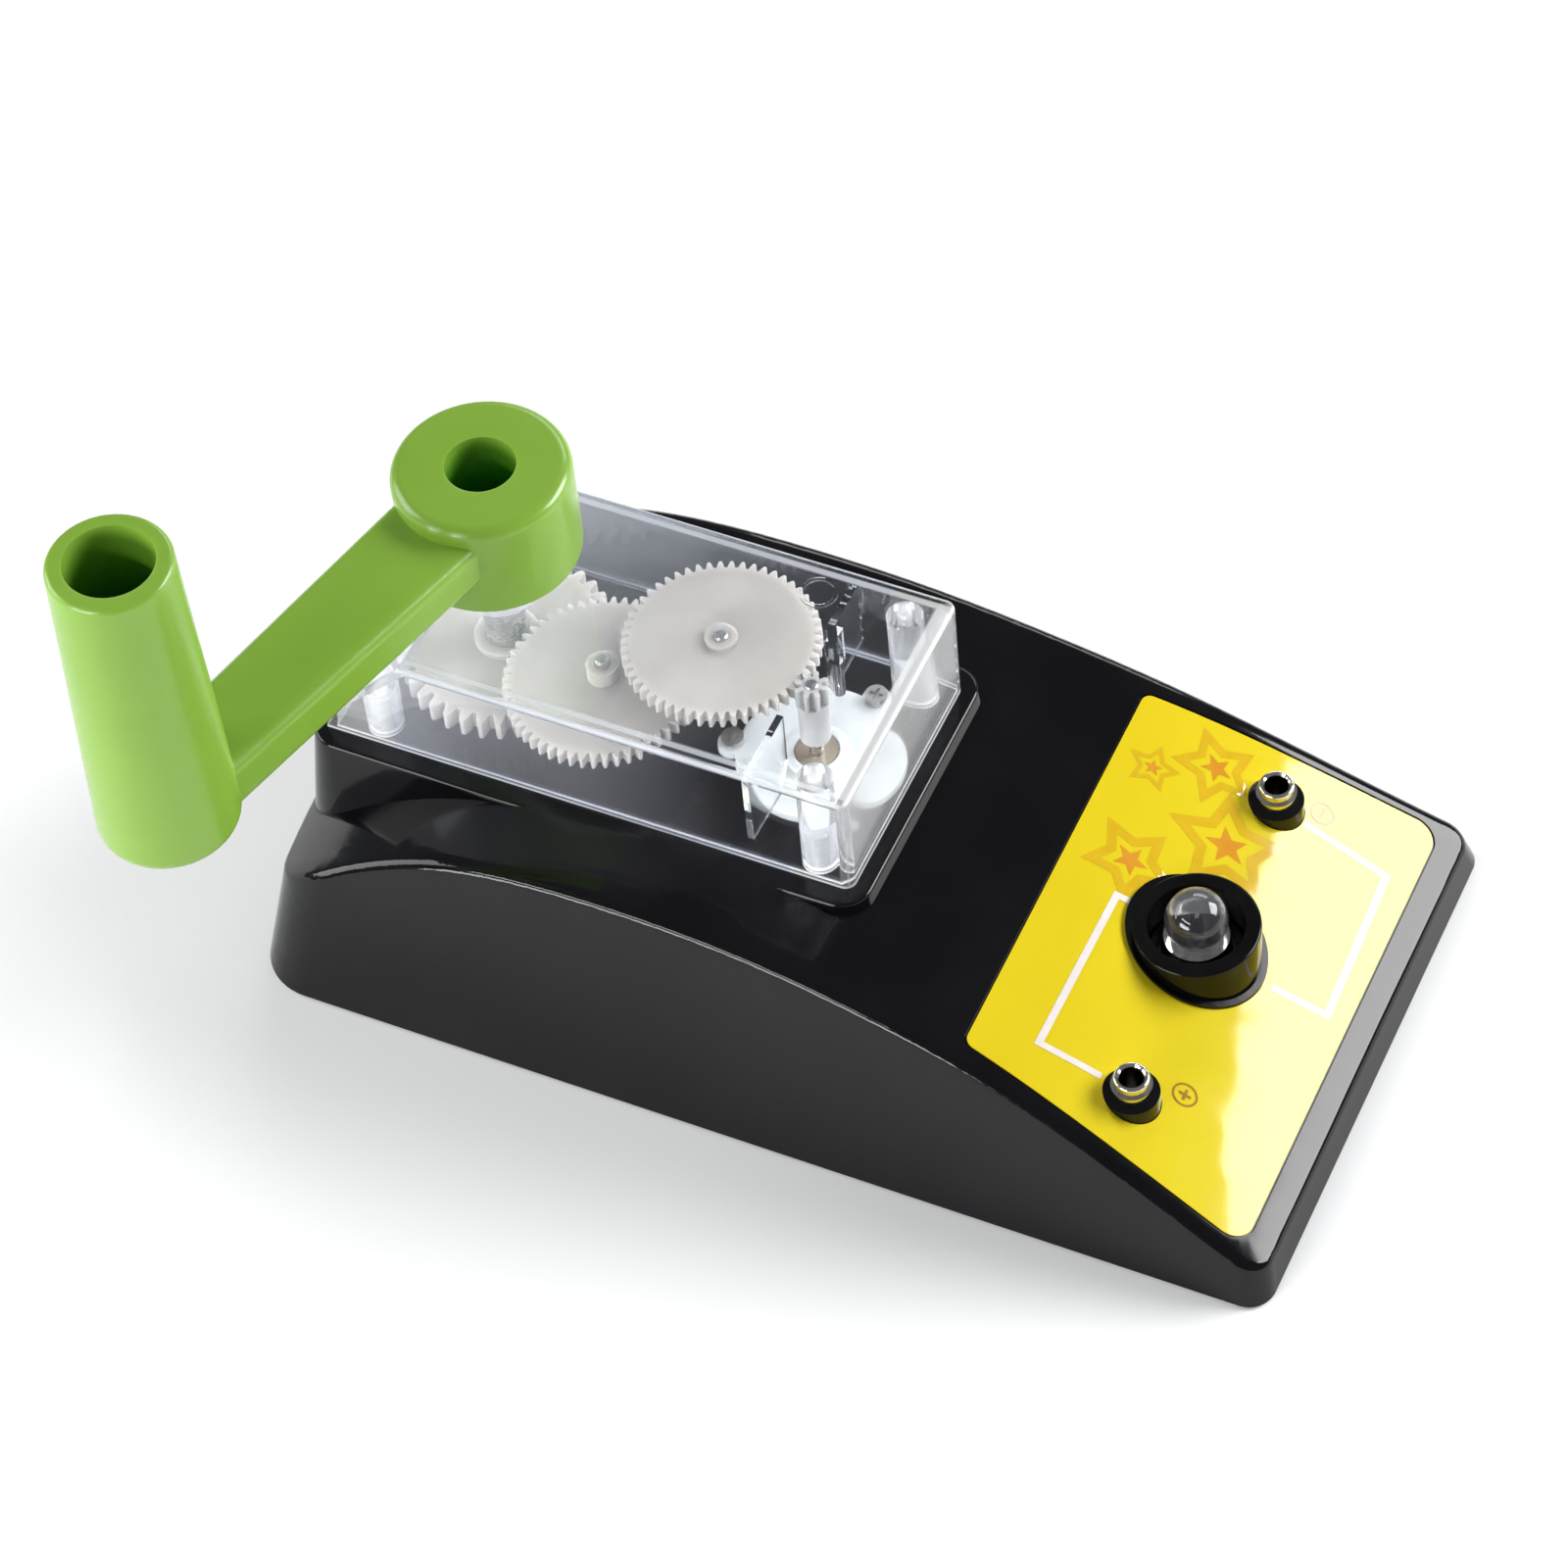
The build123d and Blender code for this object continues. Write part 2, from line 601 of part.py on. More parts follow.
with BuildPart() as crank_screw:
    with BuildSketch(Plane.XY.offset(64.4)):
        with Locations(CRANK):
            Circle(3.0)
    extrude(amount=2.0)
    fillet(crank_screw.faces().sort_by(Axis.Z)[-1].edges(), radius=0.7)
    with BuildSketch(Plane.XY.offset(55.2)):
        with Locations(CRANK):
            Circle(1.05)
    extrude(amount=9.4)
    with BuildSketch(Plane.XY.offset(65.4)):
        with Locations(CRANK):
            Rectangle(3.2, 0.7)
            Rectangle(0.7, 3.2)
    extrude(amount=2, mode=Mode.SUBTRACT)
crank_screw.part.label = "crank_screw"

# ------------------------------------------------------------------ compound gears
with BuildPart() as second_gear:
    with BuildSketch(Plane.XY.offset(35.6)):
        with BuildLine():
            Polyline(*tooth_ring(LEAF_P2, N_P2, PHASE_P2, SECOND), close=True)
        make_face()
    extrude(amount=5.2)
    with BuildSketch(Plane.XY.offset(40.6)):
        with BuildLine():
            Polyline(*tooth_ring(wheel_flank(M_FINE, N_WHEEL), N_WHEEL, PHASE_SECOND,
                                 SECOND), close=True)
        make_face()
    extrude(amount=1.9)
    with BuildSketch(Plane.XY.offset(42.3)):
        with Locations(SECOND):
            Circle(2.3)
    extrude(amount=2.6)
    with BuildSketch(Plane.XY.offset(35)):
        with Locations(SECOND):
            Circle(1.05)
    extrude(amount=20, mode=Mode.SUBTRACT)
second_gear.part.label = "second_gear"

with BuildPart() as third_gear:
    with BuildSketch(Plane.XY.offset(39.8)):
        with BuildLine():
            Polyline(*tooth_ring(LEAF_P3, N_P3, PHASE_P3, THIRD), close=True)
        make_face()
    extrude(amount=3.6)
    with BuildSketch(Plane.XY.offset(43.2)):
        with Locations(THIRD):
            Circle(2.5)
    extrude(amount=3.4)
    with BuildSketch(Plane.XY.offset(46.4)):
        with BuildLine():
            Polyline(*tooth_ring(wheel_flank(M_FINE, N_WHEEL), N_WHEEL, PHASE_THIRD,
                                 THIRD), close=True)
        make_face()
    extrude(amount=2.0)
    with BuildSketch(Plane.XY.offset(48.2)):
        with Locations(THIRD):
            Circle(2.3)
    extrude(amount=0.8)
    with BuildSketch(Plane.XY.offset(35)):
        with Locations(THIRD):
            Circle(1.05)
    extrude(amount=20, mode=Mode.SUBTRACT)
third_gear.part.label = "third_gear"

# ------------------------------------------------------------------ motor
MX, MY = MOTOR
CAN_TOP = FLOOR_Z

with BuildPart() as motor_can:
    with BuildSketch(Plane.XY.offset(11.4)):
        with Locations(MOTOR):
            Circle(MOTOR_R)
    extrude(amount=CAN_TOP - 11.4)
    with BuildSketch(Plane.XY.offset(11.0)):
        with Locations(MOTOR):
            Circle(MOTOR_R - 0.8)
    extrude(amount=CAN_TOP - 0.9 - 11.0, mode=Mode.SUBTRACT)
    with BuildSketch(Plane.XY.offset(30)):
        with Locations(MOTOR):
            Circle(3.0)
    extrude(amount=6, mode=Mode.SUBTRACT)
motor_can.part.label = "motor_can"

with BuildPart() as motor_magnets:
    with BuildSketch(Plane.XY.offset(13.0)):
        with Locations(MOTOR):
            Circle(9.4)
            Circle(7.4, mode=Mode.SUBTRACT)
            Rectangle(30, 9, mode=Mode.SUBTRACT)
    extrude(amount=15.0)
motor_magnets.part.label = "motor_magnets"

with BuildPart() as motor_bearing:
    with BuildSketch(Plane.XY.offset(31.4)):
        with Locations(MOTOR):
            Circle(3.0)
    extrude(amount=3.8)
    with BuildSketch(Plane.XY.offset(31)):
        with Locations(MOTOR):
            Circle(1.04)
    extrude(amount=6, mode=Mode.SUBTRACT)
motor_bearing.part.label = "motor_bearing"

with BuildPart() as motor_end_cap:
    with BuildSketch(Plane.XY.offset(MOTOR_Z0)):
        with Locations(MOTOR):
            Circle(MOTOR_R)
    extrude(amount=3.0)
    with BuildSketch(Plane.XY.offset(9.6)):
        with Locations(MOTOR):
            Circle(MOTOR_R - 1.6)
            Circle(2.6, mode=Mode.SUBTRACT)
    extrude(amount=3.0, mode=Mode.SUBTRACT)
    with BuildSketch(Plane.XY.offset(5)):
        with Locations(MOTOR):
            Circle(1.04)
        with Locations((MX, -5.4), (MX, 5.4)):
            Rectangle(2.3, 0.6)
    extrude(amount=10, mode=Mode.SUBTRACT)
motor_end_cap.part.label = "motor_end_cap"

with BuildPart() as motor_tags:
    with BuildSketch(Plane.XY.offset(4.6)):
        with Locations((MX, -5.4), (MX, 5.4)):
            Rectangle(2.2, 0.5)
    extrude(amount=7.8)
motor_tags.part.label = "motor_tags"

with BuildPart() as motor_retainer:
    with BuildSketch(Plane.XY.offset(FLOOR_Z)):
        with Locations(MOTOR):
            Circle(11.25)
        with Locations(*EARS):
            Circle(2.1)
        with Locations(MOTOR):
            Circle(3.2, mode=Mode.SUBTRACT)
        with Locations(*EARS):
            Circle(0.95, mode=Mode.SUBTRACT)
    extrude(amount=1.2)
    with BuildSketch(Plane.XY.offset(FLOOR_Z + 1.0)):
        with Locations(MOTOR):
            Circle(4.4)
            Circle(3.2, mode=Mode.SUBTRACT)
    extrude(amount=0.9)
motor_retainer.part.label = "motor_retainer"

with BuildPart() as retainer_screws:
    with BuildSketch(Plane.XY.offset(FLOOR_Z + 1.2)):
        with Locations(*EARS):
            Circle(1.6)
    extrude(amount=1.1)
    with BuildSketch(Plane.XY.offset(27.2)):
        with Locations(*EARS):
            Circle(0.75)
    extrude(amount=7.6)
    with BuildSketch(Plane.XY.offset(FLOOR_Z + 1.8)):
        for x, y in EARS:
            with Locations((x, y)):
                Rectangle(2.0, 0.45)
                Rectangle(0.45, 2.0)
    extrude(amount=1, mode=Mode.SUBTRACT)
retainer_screws.part.label = "retainer_screws"

with BuildPart() as motor_shaft:
    with BuildSketch(Plane.XY.offset(8.7)):
        with Locations(MOTOR):
            Circle(1.0)
    extrude(amount=40.4)
    chamfer(motor_shaft.faces().sort_by(Axis.Z)[-1].edges(), length=0.2)
motor_shaft.part.label = "motor_shaft"

with BuildPart() as motor_armature:
    with BuildSketch(Plane.XY.offset(14.5)):
        with Locations(MOTOR):
            Circle(7.0)
            with PolarLocations(5.6, 3, start_angle=60):
                Rectangle(4.0, 1.2, mode=Mode.SUBTRACT)
            Circle(1.0, mode=Mode.SUBTRACT)
    extrude(amount=12.0)
motor_armature.part.label = "motor_armature"

with BuildPart() as motor_windings:
    for z0 in (13.4, 26.5):
        with BuildSketch(Plane.XY.offset(z0)):
            with Locations(MOTOR):
                Circle(6.2)
                Circle(1.0, mode=Mode.SUBTRACT)
        extrude(amount=1.1)
motor_windings.part.label = "motor_windings"

with BuildPart() as motor_commutator:
    with BuildSketch(Plane.XY.offset(11.6)):
        with Locations(MOTOR):
            Circle(2.2)
            Circle(1.0, mode=Mode.SUBTRACT)
    extrude(amount=1.8)
motor_commutator.part.label = "motor_commutator"

with BuildPart() as motor_pinion:
    with BuildSketch(Plane.XY.offset(38.4)):
        with Locations(MOTOR):
            Circle(2.2)
    extrude(amount=7.2)
    with BuildSketch(Plane.XY.offset(45.6)):
        with BuildLine():
            Polyline(*tooth_ring(LEAF_P4, N_P4, PHASE_P4, MOTOR), close=True)
        make_face()
    extrude(amount=3.3)
    with BuildSketch(Plane.XY.offset(35)):
        with Locations(MOTOR):
            Circle(1.0)
    extrude(amount=20, mode=Mode.SUBTRACT)
motor_pinion.part.label = "motor_pinion"

# ------------------------------------------------------------------ lamp holder
LX, LY = LAMP
HOLDER_Z0, HOLDER_TOP = 6.5, 22.5


def sloping_disc(radius, low, high):
    """Vertical disc cut to the band of the panel between two heights above it."""
    with BuildPart() as disc:
        with BuildSketch(Plane.XY):
            with Locations(LAMP):
                Circle(radius)
        extrude(amount=40)
        with BuildSketch(Plane.XZ.offset(-30)):
            with BuildLine():
                a = Spline(*offset_arch(-high))
                b = Spline(*offset_arch(-low))
                Line(a @ 0, b @ 0)
                Line(b @ 1, a @ 1)
            make_face()
        extrude(amount=60, mode=Mode.INTERSECT)
    return disc.part


with BuildPart() as lamp_holder:
    with BuildSketch(Plane.XY.offset(HOLDER_Z0)):
        with Locations(LAMP):
            Circle(9.0)
    extrude(amount=HOLDER_TOP - HOLDER_Z0)
    fillet(lamp_holder.faces().sort_by(Axis.Z)[-1].edges(), radius=0.4)
    add(sloping_disc(9.8, 0.0, 0.5))
    with BuildSketch(Plane.XY.offset(16.2)):
        with Locations(LAMP):
            Circle(6.8)
    extrude(amount=20, mode=Mode.SUBTRACT)
    with BuildSketch(Plane.XY.offset(8.5)):
        with Locations(LAMP):
            Circle(5.6)
    extrude(amount=20, mode=Mode.SUBTRACT)
    with BuildSketch(Plane.XY.offset(5)):
        with Locations(LAMP):
            Circle(1.1)
        with Locations((LX, LY + 5.25)):
            Rectangle(1.8, 0.7)
    extrude(amount=8, mode=Mode.SUBTRACT)
lamp_holder.part.label = "lamp_holder"

with BuildPart() as lamp_socket_shell:
    with BuildSketch(Plane.XY.offset(8.5)):
        with Locations(LAMP):
            Circle(5.55)
            Circle(5.0, mode=Mode.SUBTRACT)
    extrude(amount=7.7)
    with BuildSketch(Plane.XY.offset(16.2)):
        with Locations(LAMP):
            Circle(6.5)
            Circle(5.0, mode=Mode.SUBTRACT)
    extrude(amount=0.5)
    # tail through the floor of the holder
    with BuildSketch(Plane.XY.offset(4.8)):
        with Locations((LX, LY + 5.25)):
            Rectangle(1.6, 0.5)
    extrude(amount=4.2)
lamp_socket_shell.part.label = "lamp_socket_shell"

with BuildPart() as lamp_contact:
    with BuildSketch(Plane.XY.offset(8.5)):
        with Locations(LAMP):
            Circle(2.4)
    extrude(amount=0.6)
    with BuildSketch(Plane.XY.offset(4.6)):
        with Locations(LAMP):
            Circle(1.0)
    extrude(amount=4.0)
lamp_contact.part.label = "lamp_contact"

# ------------------------------------------------------------------ lamp
GLOBE_Z, GLOBE_R = 23.6, 4.45
with BuildPart() as bulb_base:
    with BuildSketch(Plane.XZ):
        with BuildLine():
            # plain waist with rolled thread ridges
            pts = [(0, 10.0), (3.2, 10.0), (4.35, 11.4)]
            for i in range(4):
                z = 11.8 + 1.7 * i
                pts += [(4.35, z), (4.7, z + 0.45), (4.7, z + 0.85), (4.35, z + 1.3)]
            pts += [(4.35, 19.4), (4.6, 19.6), (4.6, 20.0), (0, 20.0)]
            Polyline(*pts, close=True)
        make_face()
    revolve(axis=Axis.Z)
    with BuildSketch(Plane.XY.offset(12.0)):
        Circle(3.0)
    extrude(amount=12.0, mode=Mode.SUBTRACT)
bulb_base_at = bulb_base.part.moved(Location((LX, LY, 0)))
bulb_base_at.label = "bulb_base"

with BuildPart() as bulb_tip:
    with BuildSketch(Plane.XY.offset(9.3)):
        with Locations(LAMP):
            Circle(1.5)
    extrude(amount=0.7)
bulb_tip.part.label = "bulb_tip"

with BuildPart() as bulb_glass_core:
    with BuildSketch(Plane.XZ):
        with BuildLine():
            neck = 2.9
            zn = GLOBE_Z - math.sqrt(GLOBE_R ** 2 - neck ** 2)
            Line((0, 14.0), (neck, 14.0))
            Line((neck, 14.0), (neck, zn))
            ThreePointArc((neck, zn), (GLOBE_R, GLOBE_Z), (0, GLOBE_Z + GLOBE_R))
            # solid ball lens over a short cavity inside the cap
            Line((0, GLOBE_Z + GLOBE_R), (0, 19.4))
            ThreePointArc((0, 19.4), (1.7, 19.0), (neck - 0.5, 18.2))
            Line((neck - 0.5, 18.2), (neck - 0.5, 15.0))
            Line((neck - 0.5, 15.0), (0, 15.0))
            Line((0, 15.0), (0, 14.0))
        make_face()
    revolve(axis=Axis.Z)
bulb_glass_at = bulb_glass_core.part.moved(Location((LX, LY, 0)))
bulb_glass_at.label = "bulb_glass"

with BuildPart() as bulb_filament:
    with BuildSketch(Plane.XY.offset(15.0)):
        with Locations(LAMP):
            Circle(0.9)
    extrude(amount=1.8)
    with BuildSketch(Plane.XY.offset(16.6)):
        with Locations((LX, LY - 0.6), (LX, LY + 0.6)):
            Circle(0.16)
    extrude(amount=1.5)
    with BuildSketch(Plane.XZ.offset(-(LY + 1.1))):
        with Locations((LX, 18.0)):
            Circle(0.22)
    extrude(amount=2.2)
bulb_filament.part.label = "bulb_filament"

# ------------------------------------------------------------------ output sockets
def socket_post(y):
    with BuildPart() as post:
        with BuildSketch(Plane.XY.offset(9.0)):
            with Locations((TERM_X, y)):
                Circle(2.0)
        extrude(amount=9.8)
        with BuildSketch(Plane.XY.offset(18.8)):
            with Locations((TERM_X, y)):
                Circle(2.9)
        extrude(amount=1.9)
        with BuildSketch(Plane.XY.offset(20.7)):
            with Locations((TERM_X, y)):
                Circle(2.5)
        extrude(amount=1.6)
        fillet(post.faces().sort_by(Axis.Z)[-1].edges(), radius=0.35)
        with BuildSketch(Plane.XY.offset(10.3)):
            with Locations((TERM_X, y)):
                Circle(TERM_BORE)
        extrude(amount=14, mode=Mode.SUBTRACT)
        mouth = [e for e in post.faces().sort_by(Axis.Z)[-1].edges()
                 if abs(e.length - 2 * math.pi * TERM_BORE) < 0.1]
        chamfer(mouth, length=0.25)
    return post.part


with BuildPart() as socket_front:
    add(socket_post(-TERM_Y))
socket_front.part.label = "socket_front"
with BuildPart() as socket_back:
    add(socket_post(TERM_Y))
socket_back.part.label = "socket_back"

with BuildPart() as solder_tags:
    for s in (-1, 1):
        with BuildSketch(Plane.XY.offset(12.1)):
            with Locations((TERM_X, s * TERM_Y)):
                Circle(3.3)
            with Locations((TERM_X - 4.5, s * TERM_Y)):
                Rectangle(6.0, 2.2)
            with Locations((TERM_X, s * (TERM_Y - 4.5))):
                Rectangle(2.2, 6.0)
            with Locations((TERM_X, s * TERM_Y)):
                Circle(2.05, mode=Mode.SUBTRACT)
        extrude(amount=0.5)
solder_tags.part.label = "solder_tags"

with BuildPart() as socket_nuts:
    for s in (-1, 1):
        with BuildSketch(Plane.XY.offset(9.7)):
            with Locations((TERM_X, s * TERM_Y)):
                RegularPolygon(radius=3.2, side_count=6, major_radius=False)
                Circle(2.02, mode=Mode.SUBTRACT)
        extrude(amount=2.4)
socket_nuts.part.label = "socket_nuts"

# ------------------------------------------------------------------ wires inside
WIRE_R = 0.65


def wire(points, first_dir):
    """Insulated wire along straight runs joined by tangent arcs."""
    p = [Vector(*q) for q in points]
    radii = []
    for a, b, c in zip(p, p[1:], p[2:]):
        turn = math.radians((b - a).get_angle(c - b))
        radii.append(round(0.45 * min((b - a).length, (c - b).length) / math.tan(turn / 2), 2))
    print("wire radii", radii)
    with BuildPart() as w:
        with BuildLine() as path:
            FilletPolyline(*points, radius=radii)
        with BuildSketch(Plane(origin=points[0], z_dir=path.wires()[0] % 0)):
            Circle(WIRE_R)
        sweep()
    return w.part


TAG_IN = TERM_X - 6.6
WZ = 5.3


def motor_wire(s):
    return [(MX + 1.1, s * 5.4, WZ), (MX + 8, s * 6.0, WZ), (MX + 19, s * 9.5, WZ + 0.2),
            (MX + 31, s * 16.5, WZ + 0.3), (MX + 42.5, s * 24.0, WZ + 0.2),
            (TAG_IN, s * TERM_Y, 6.9), (TAG_IN, s * TERM_Y, 12.1)]


def lamp_wire(s, end):
    return [(TERM_X, s * (TERM_Y - 6.5), 12.1), (TERM_X, s * (TERM_Y - 6.5), 7.6),
            (TERM_X - 0.4, s * (TERM_Y - 10.2), 5.3), (LX, s * 12.0, WZ), end]


with BuildPart() as wire_front:
    add(wire(motor_wire(-1), None))
wire_front.part.label = "wire_front"
with BuildPart() as wire_back:
    add(wire(motor_wire(1), None))
wire_back.part.label = "wire_back"
with BuildPart() as lamp_wire_front:
    add(wire(lamp_wire(-1, (LX, -1.0, WZ)), None))
lamp_wire_front.part.label = "lamp_wire_front"
with BuildPart() as lamp_wire_back:
    add(wire(lamp_wire(1, (LX, 5.5, WZ)), None))
lamp_wire_back.part.label = "lamp_wire_back"

# ------------------------------------------------------------------ write
os.makedirs("parts", exist_ok=True)
export_step(base_shell.part, "parts/base_shell.step")
export_step(panel_label.part, "parts/panel_label.step")
export_step(bottom_plate.part, "parts/bottom_plate.step")
export_step(bottom_screws.part, "parts/bottom_screws.step")
export_step(gear_cover.part, "parts/gear_cover.step")
export_step(cover_screws.part, "parts/cover_screws.step")
export_step(second_axle.part, "parts/second_axle.step")
export_step(third_axle.part, "parts/third_axle.step")
export_step(crank_shaft.part, "parts/crank_shaft.step")
export_step(crank_gear.part, "parts/crank_gear.step")
export_step(crank_handle.part, "parts/crank_handle.step")
export_step(crank_screw.part, "parts/crank_screw.step")
export_step(second_gear.part, "parts/second_gear.step")
export_step(third_gear.part, "parts/third_gear.step")
export_step(motor_can.part, "parts/motor_can.step")
export_step(motor_magnets.part, "parts/motor_magnets.step")
export_step(motor_bearing.part, "parts/motor_bearing.step")
export_step(motor_end_cap.part, "parts/motor_end_cap.step")
export_step(motor_tags.part, "parts/motor_tags.step")
export_step(motor_retainer.part, "parts/motor_retainer.step")
export_step(retainer_screws.part, "parts/retainer_screws.step")
export_step(motor_shaft.part, "parts/motor_shaft.step")
export_step(motor_armature.part, "parts/motor_armature.step")
export_step(motor_windings.part, "parts/motor_windings.step")
export_step(motor_commutator.part, "parts/motor_commutator.step")
export_step(motor_pinion.part, "parts/motor_pinion.step")
export_step(lamp_holder.part, "parts/lamp_holder.step")
export_step(lamp_socket_shell.part, "parts/lamp_socket_shell.step")
export_step(lamp_contact.part, "parts/lamp_contact.step")
export_step(bulb_base_at, "parts/bulb_base.step")
export_step(bulb_tip.part, "parts/bulb_tip.step")
export_step(bulb_glass_at, "parts/bulb_glass.step")
export_step(bulb_filament.part, "parts/bulb_filament.step")
export_step(socket_front.part, "parts/socket_front.step")
export_step(socket_back.part, "parts/socket_back.step")
export_step(solder_tags.part, "parts/solder_tags.step")
export_step(socket_nuts.part, "parts/socket_nuts.step")
export_step(wire_front.part, "parts/wire_front.step")
export_step(wire_back.part, "parts/wire_back.step")
export_step(lamp_wire_front.part, "parts/lamp_wire_front.step")
export_step(lamp_wire_back.part, "parts/lamp_wire_back.step")
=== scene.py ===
import bpy
import bmesh
import math
from mathutils import Vector, Matrix
from mathutils.bvhtree import BVHTree


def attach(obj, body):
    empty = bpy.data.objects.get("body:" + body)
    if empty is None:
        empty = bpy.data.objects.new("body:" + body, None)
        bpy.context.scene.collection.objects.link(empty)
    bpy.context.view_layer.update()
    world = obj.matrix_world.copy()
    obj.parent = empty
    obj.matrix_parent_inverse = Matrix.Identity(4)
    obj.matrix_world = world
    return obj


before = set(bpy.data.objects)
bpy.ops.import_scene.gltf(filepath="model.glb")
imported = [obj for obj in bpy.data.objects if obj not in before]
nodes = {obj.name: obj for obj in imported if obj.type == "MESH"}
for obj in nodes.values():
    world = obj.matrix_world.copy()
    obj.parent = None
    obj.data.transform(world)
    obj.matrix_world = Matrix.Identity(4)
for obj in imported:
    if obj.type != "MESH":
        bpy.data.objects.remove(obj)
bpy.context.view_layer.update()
scene = bpy.context.scene
MM = 0.001


# ------------------------------------------------------------------ camera
def make_camera():
    az, el, roll = math.radians(-60.87), math.radians(51.35), math.radians(-6.27)
    right = Vector((-math.sin(az), math.cos(az), 0))
    d = Vector((math.cos(el) * math.cos(az), math.cos(el) * math.sin(az), math.sin(el)))
    up = d.cross(right)
    r2 = math.cos(roll) * right + math.sin(roll) * up
    u2 = -math.sin(roll) * right + math.cos(roll) * up
    pos = Vector((10.14, 0, 0)) + d * 826.88 - r2 * 19.47 + u2 * 21.135
    cam = bpy.data.cameras.new("camera")
    cam.sensor_width = 36.0
    cam.sensor_fit = "HORIZONTAL"
    cam.lens = 5925.2 / 1600 * 36.0
    cam.clip_start, cam.clip_end = 0.01, 20
    ob = bpy.data.objects.new("camera", cam)
    m = Matrix((r2, u2, d)).transposed().to_4x4()
    m.translation = pos * MM
    ob.matrix_world = m
    scene.collection.objects.link(ob)
    scene.camera = ob
    return ob


make_camera()


# ------------------------------------------------------------------ materials
def mat_base(name):
    m = bpy.data.materials.new(name)
    m.use_nodes = True
    nt = m.node_tree
    nt.nodes.clear()
    out = nt.nodes.new("ShaderNodeOutputMaterial")
    b = nt.nodes.new("ShaderNodeBsdfPrincipled")
    nt.links.new(b.outputs[0], out.inputs[0])
    tc = nt.nodes.new("ShaderNodeTexCoord")
    return m, nt, b, tc, out


def noise(nt, tc, scale, detail=3.0, rough=0.5, stretch=None):
    n = nt.nodes.new("ShaderNodeTexNoise")
    n.inputs["Scale"].default_value = scale
    n.inputs["Detail"].default_value = detail
    n.inputs["Roughness"].default_value = rough
    if stretch:
        mp = nt.nodes.new("ShaderNodeMapping")
        mp.inputs["Scale"].default_value = stretch
        nt.links.new(tc.outputs["Object"], mp.inputs["Vector"])
        nt.links.new(mp.outputs[0], n.inputs["Vector"])
    else:
        nt.links.new(tc.outputs["Object"], n.inputs["Vector"])
    return n.outputs["Fac"]


def ramp(nt, src, c0, c1, p0=0.35, p1=0.65):
    r = nt.nodes.new("ShaderNodeValToRGB")
    r.color_ramp.elements[0].position = p0
    r.color_ramp.elements[1].position = p1
    r.color_ramp.elements[0].color = (*c0, 1)
    r.color_ramp.elements[1].color = (*c1, 1)
    nt.links.new(src, r.inputs[0])
    return r.outputs[0]


def remap(nt, src, lo, hi, a=0.3, b=0.7):
    r = nt.nodes.new("ShaderNodeMapRange")
    r.inputs["From Min"].default_value = a
    r.inputs["From Max"].default_value = b
    r.inputs["To Min"].default_value = lo
    r.inputs["To Max"].default_value = hi
    nt.links.new(src, r.inputs["Value"])
    return r.outputs["Result"]


def bump(nt, src, strength, distance, normal=None):
    b = nt.nodes.new("ShaderNodeBump")
    b.inputs["Strength"].default_value = strength
    b.inputs["Distance"].default_value = distance
    nt.links.new(src, b.inputs["Height"])
    if normal is not None:
        nt.links.new(normal, b.inputs["Normal"])
    return b.outputs["Normal"]


def plastic(name, c0, c1, scale=90, rough=(0.2, 0.3), bump_scale=900, bump_amt=0.02,
            wave_scale=60, wave_amt=0.05, sss=0.0, sss_scale=0.003, spec=0.5, ior=1.5,
            transmission=0.0):
    m, nt, b, tc, out = mat_base(name)
    n1 = noise(nt, tc, scale, 4)
    nt.links.new(ramp(nt, n1, c0, c1), b.inputs["Base Color"])
    n2 = noise(nt, tc, scale * 3.1, 5, 0.6)
    nt.links.new(remap(nt, n2, rough[0], rough[1]), b.inputs["Roughness"])
    n3 = noise(nt, tc, wave_scale, 1.0)
    n4 = noise(nt, tc, bump_scale, 2.0)
    nrm = bump(nt, n3, wave_amt, 0.0004)
    nrm = bump(nt, n4, bump_amt, 0.0001, nrm)
    nt.links.new(nrm, b.inputs["Normal"])
    b.inputs["IOR"].default_value = ior
    b.inputs["Specular IOR Level"].default_value = spec
    if sss:
        b.inputs["Subsurface Weight"].default_value = sss
        b.inputs["Subsurface Scale"].default_value = sss_scale
        b.inputs["Subsurface Radius"].default_value = (1.0, 1.0, 1.0)
    if transmission:
        b.inputs["Transmission Weight"].default_value = transmission
    return m


def metal(name, c0, c1, rough=(0.2, 0.35), scale=300, stretch=(1, 1, 8), bump_amt=0.06):
    m, nt, b, tc, out = mat_base(name)
    n1 = noise(nt, tc, scale, 4, 0.6, stretch)
    nt.links.new(ramp(nt, n1, c0, c1), b.inputs["Base Color"])
    n2 = noise(nt, tc, scale * 2.3, 4, 0.6, stretch)
    nt.links.new(remap(nt, n2, rough[0], rough[1]), b.inputs["Roughness"])
    nt.links.new(bump(nt, n2, bump_amt, 0.0001), b.inputs["Normal"])
    b.inputs["Metallic"].default_value = 1.0
    return m


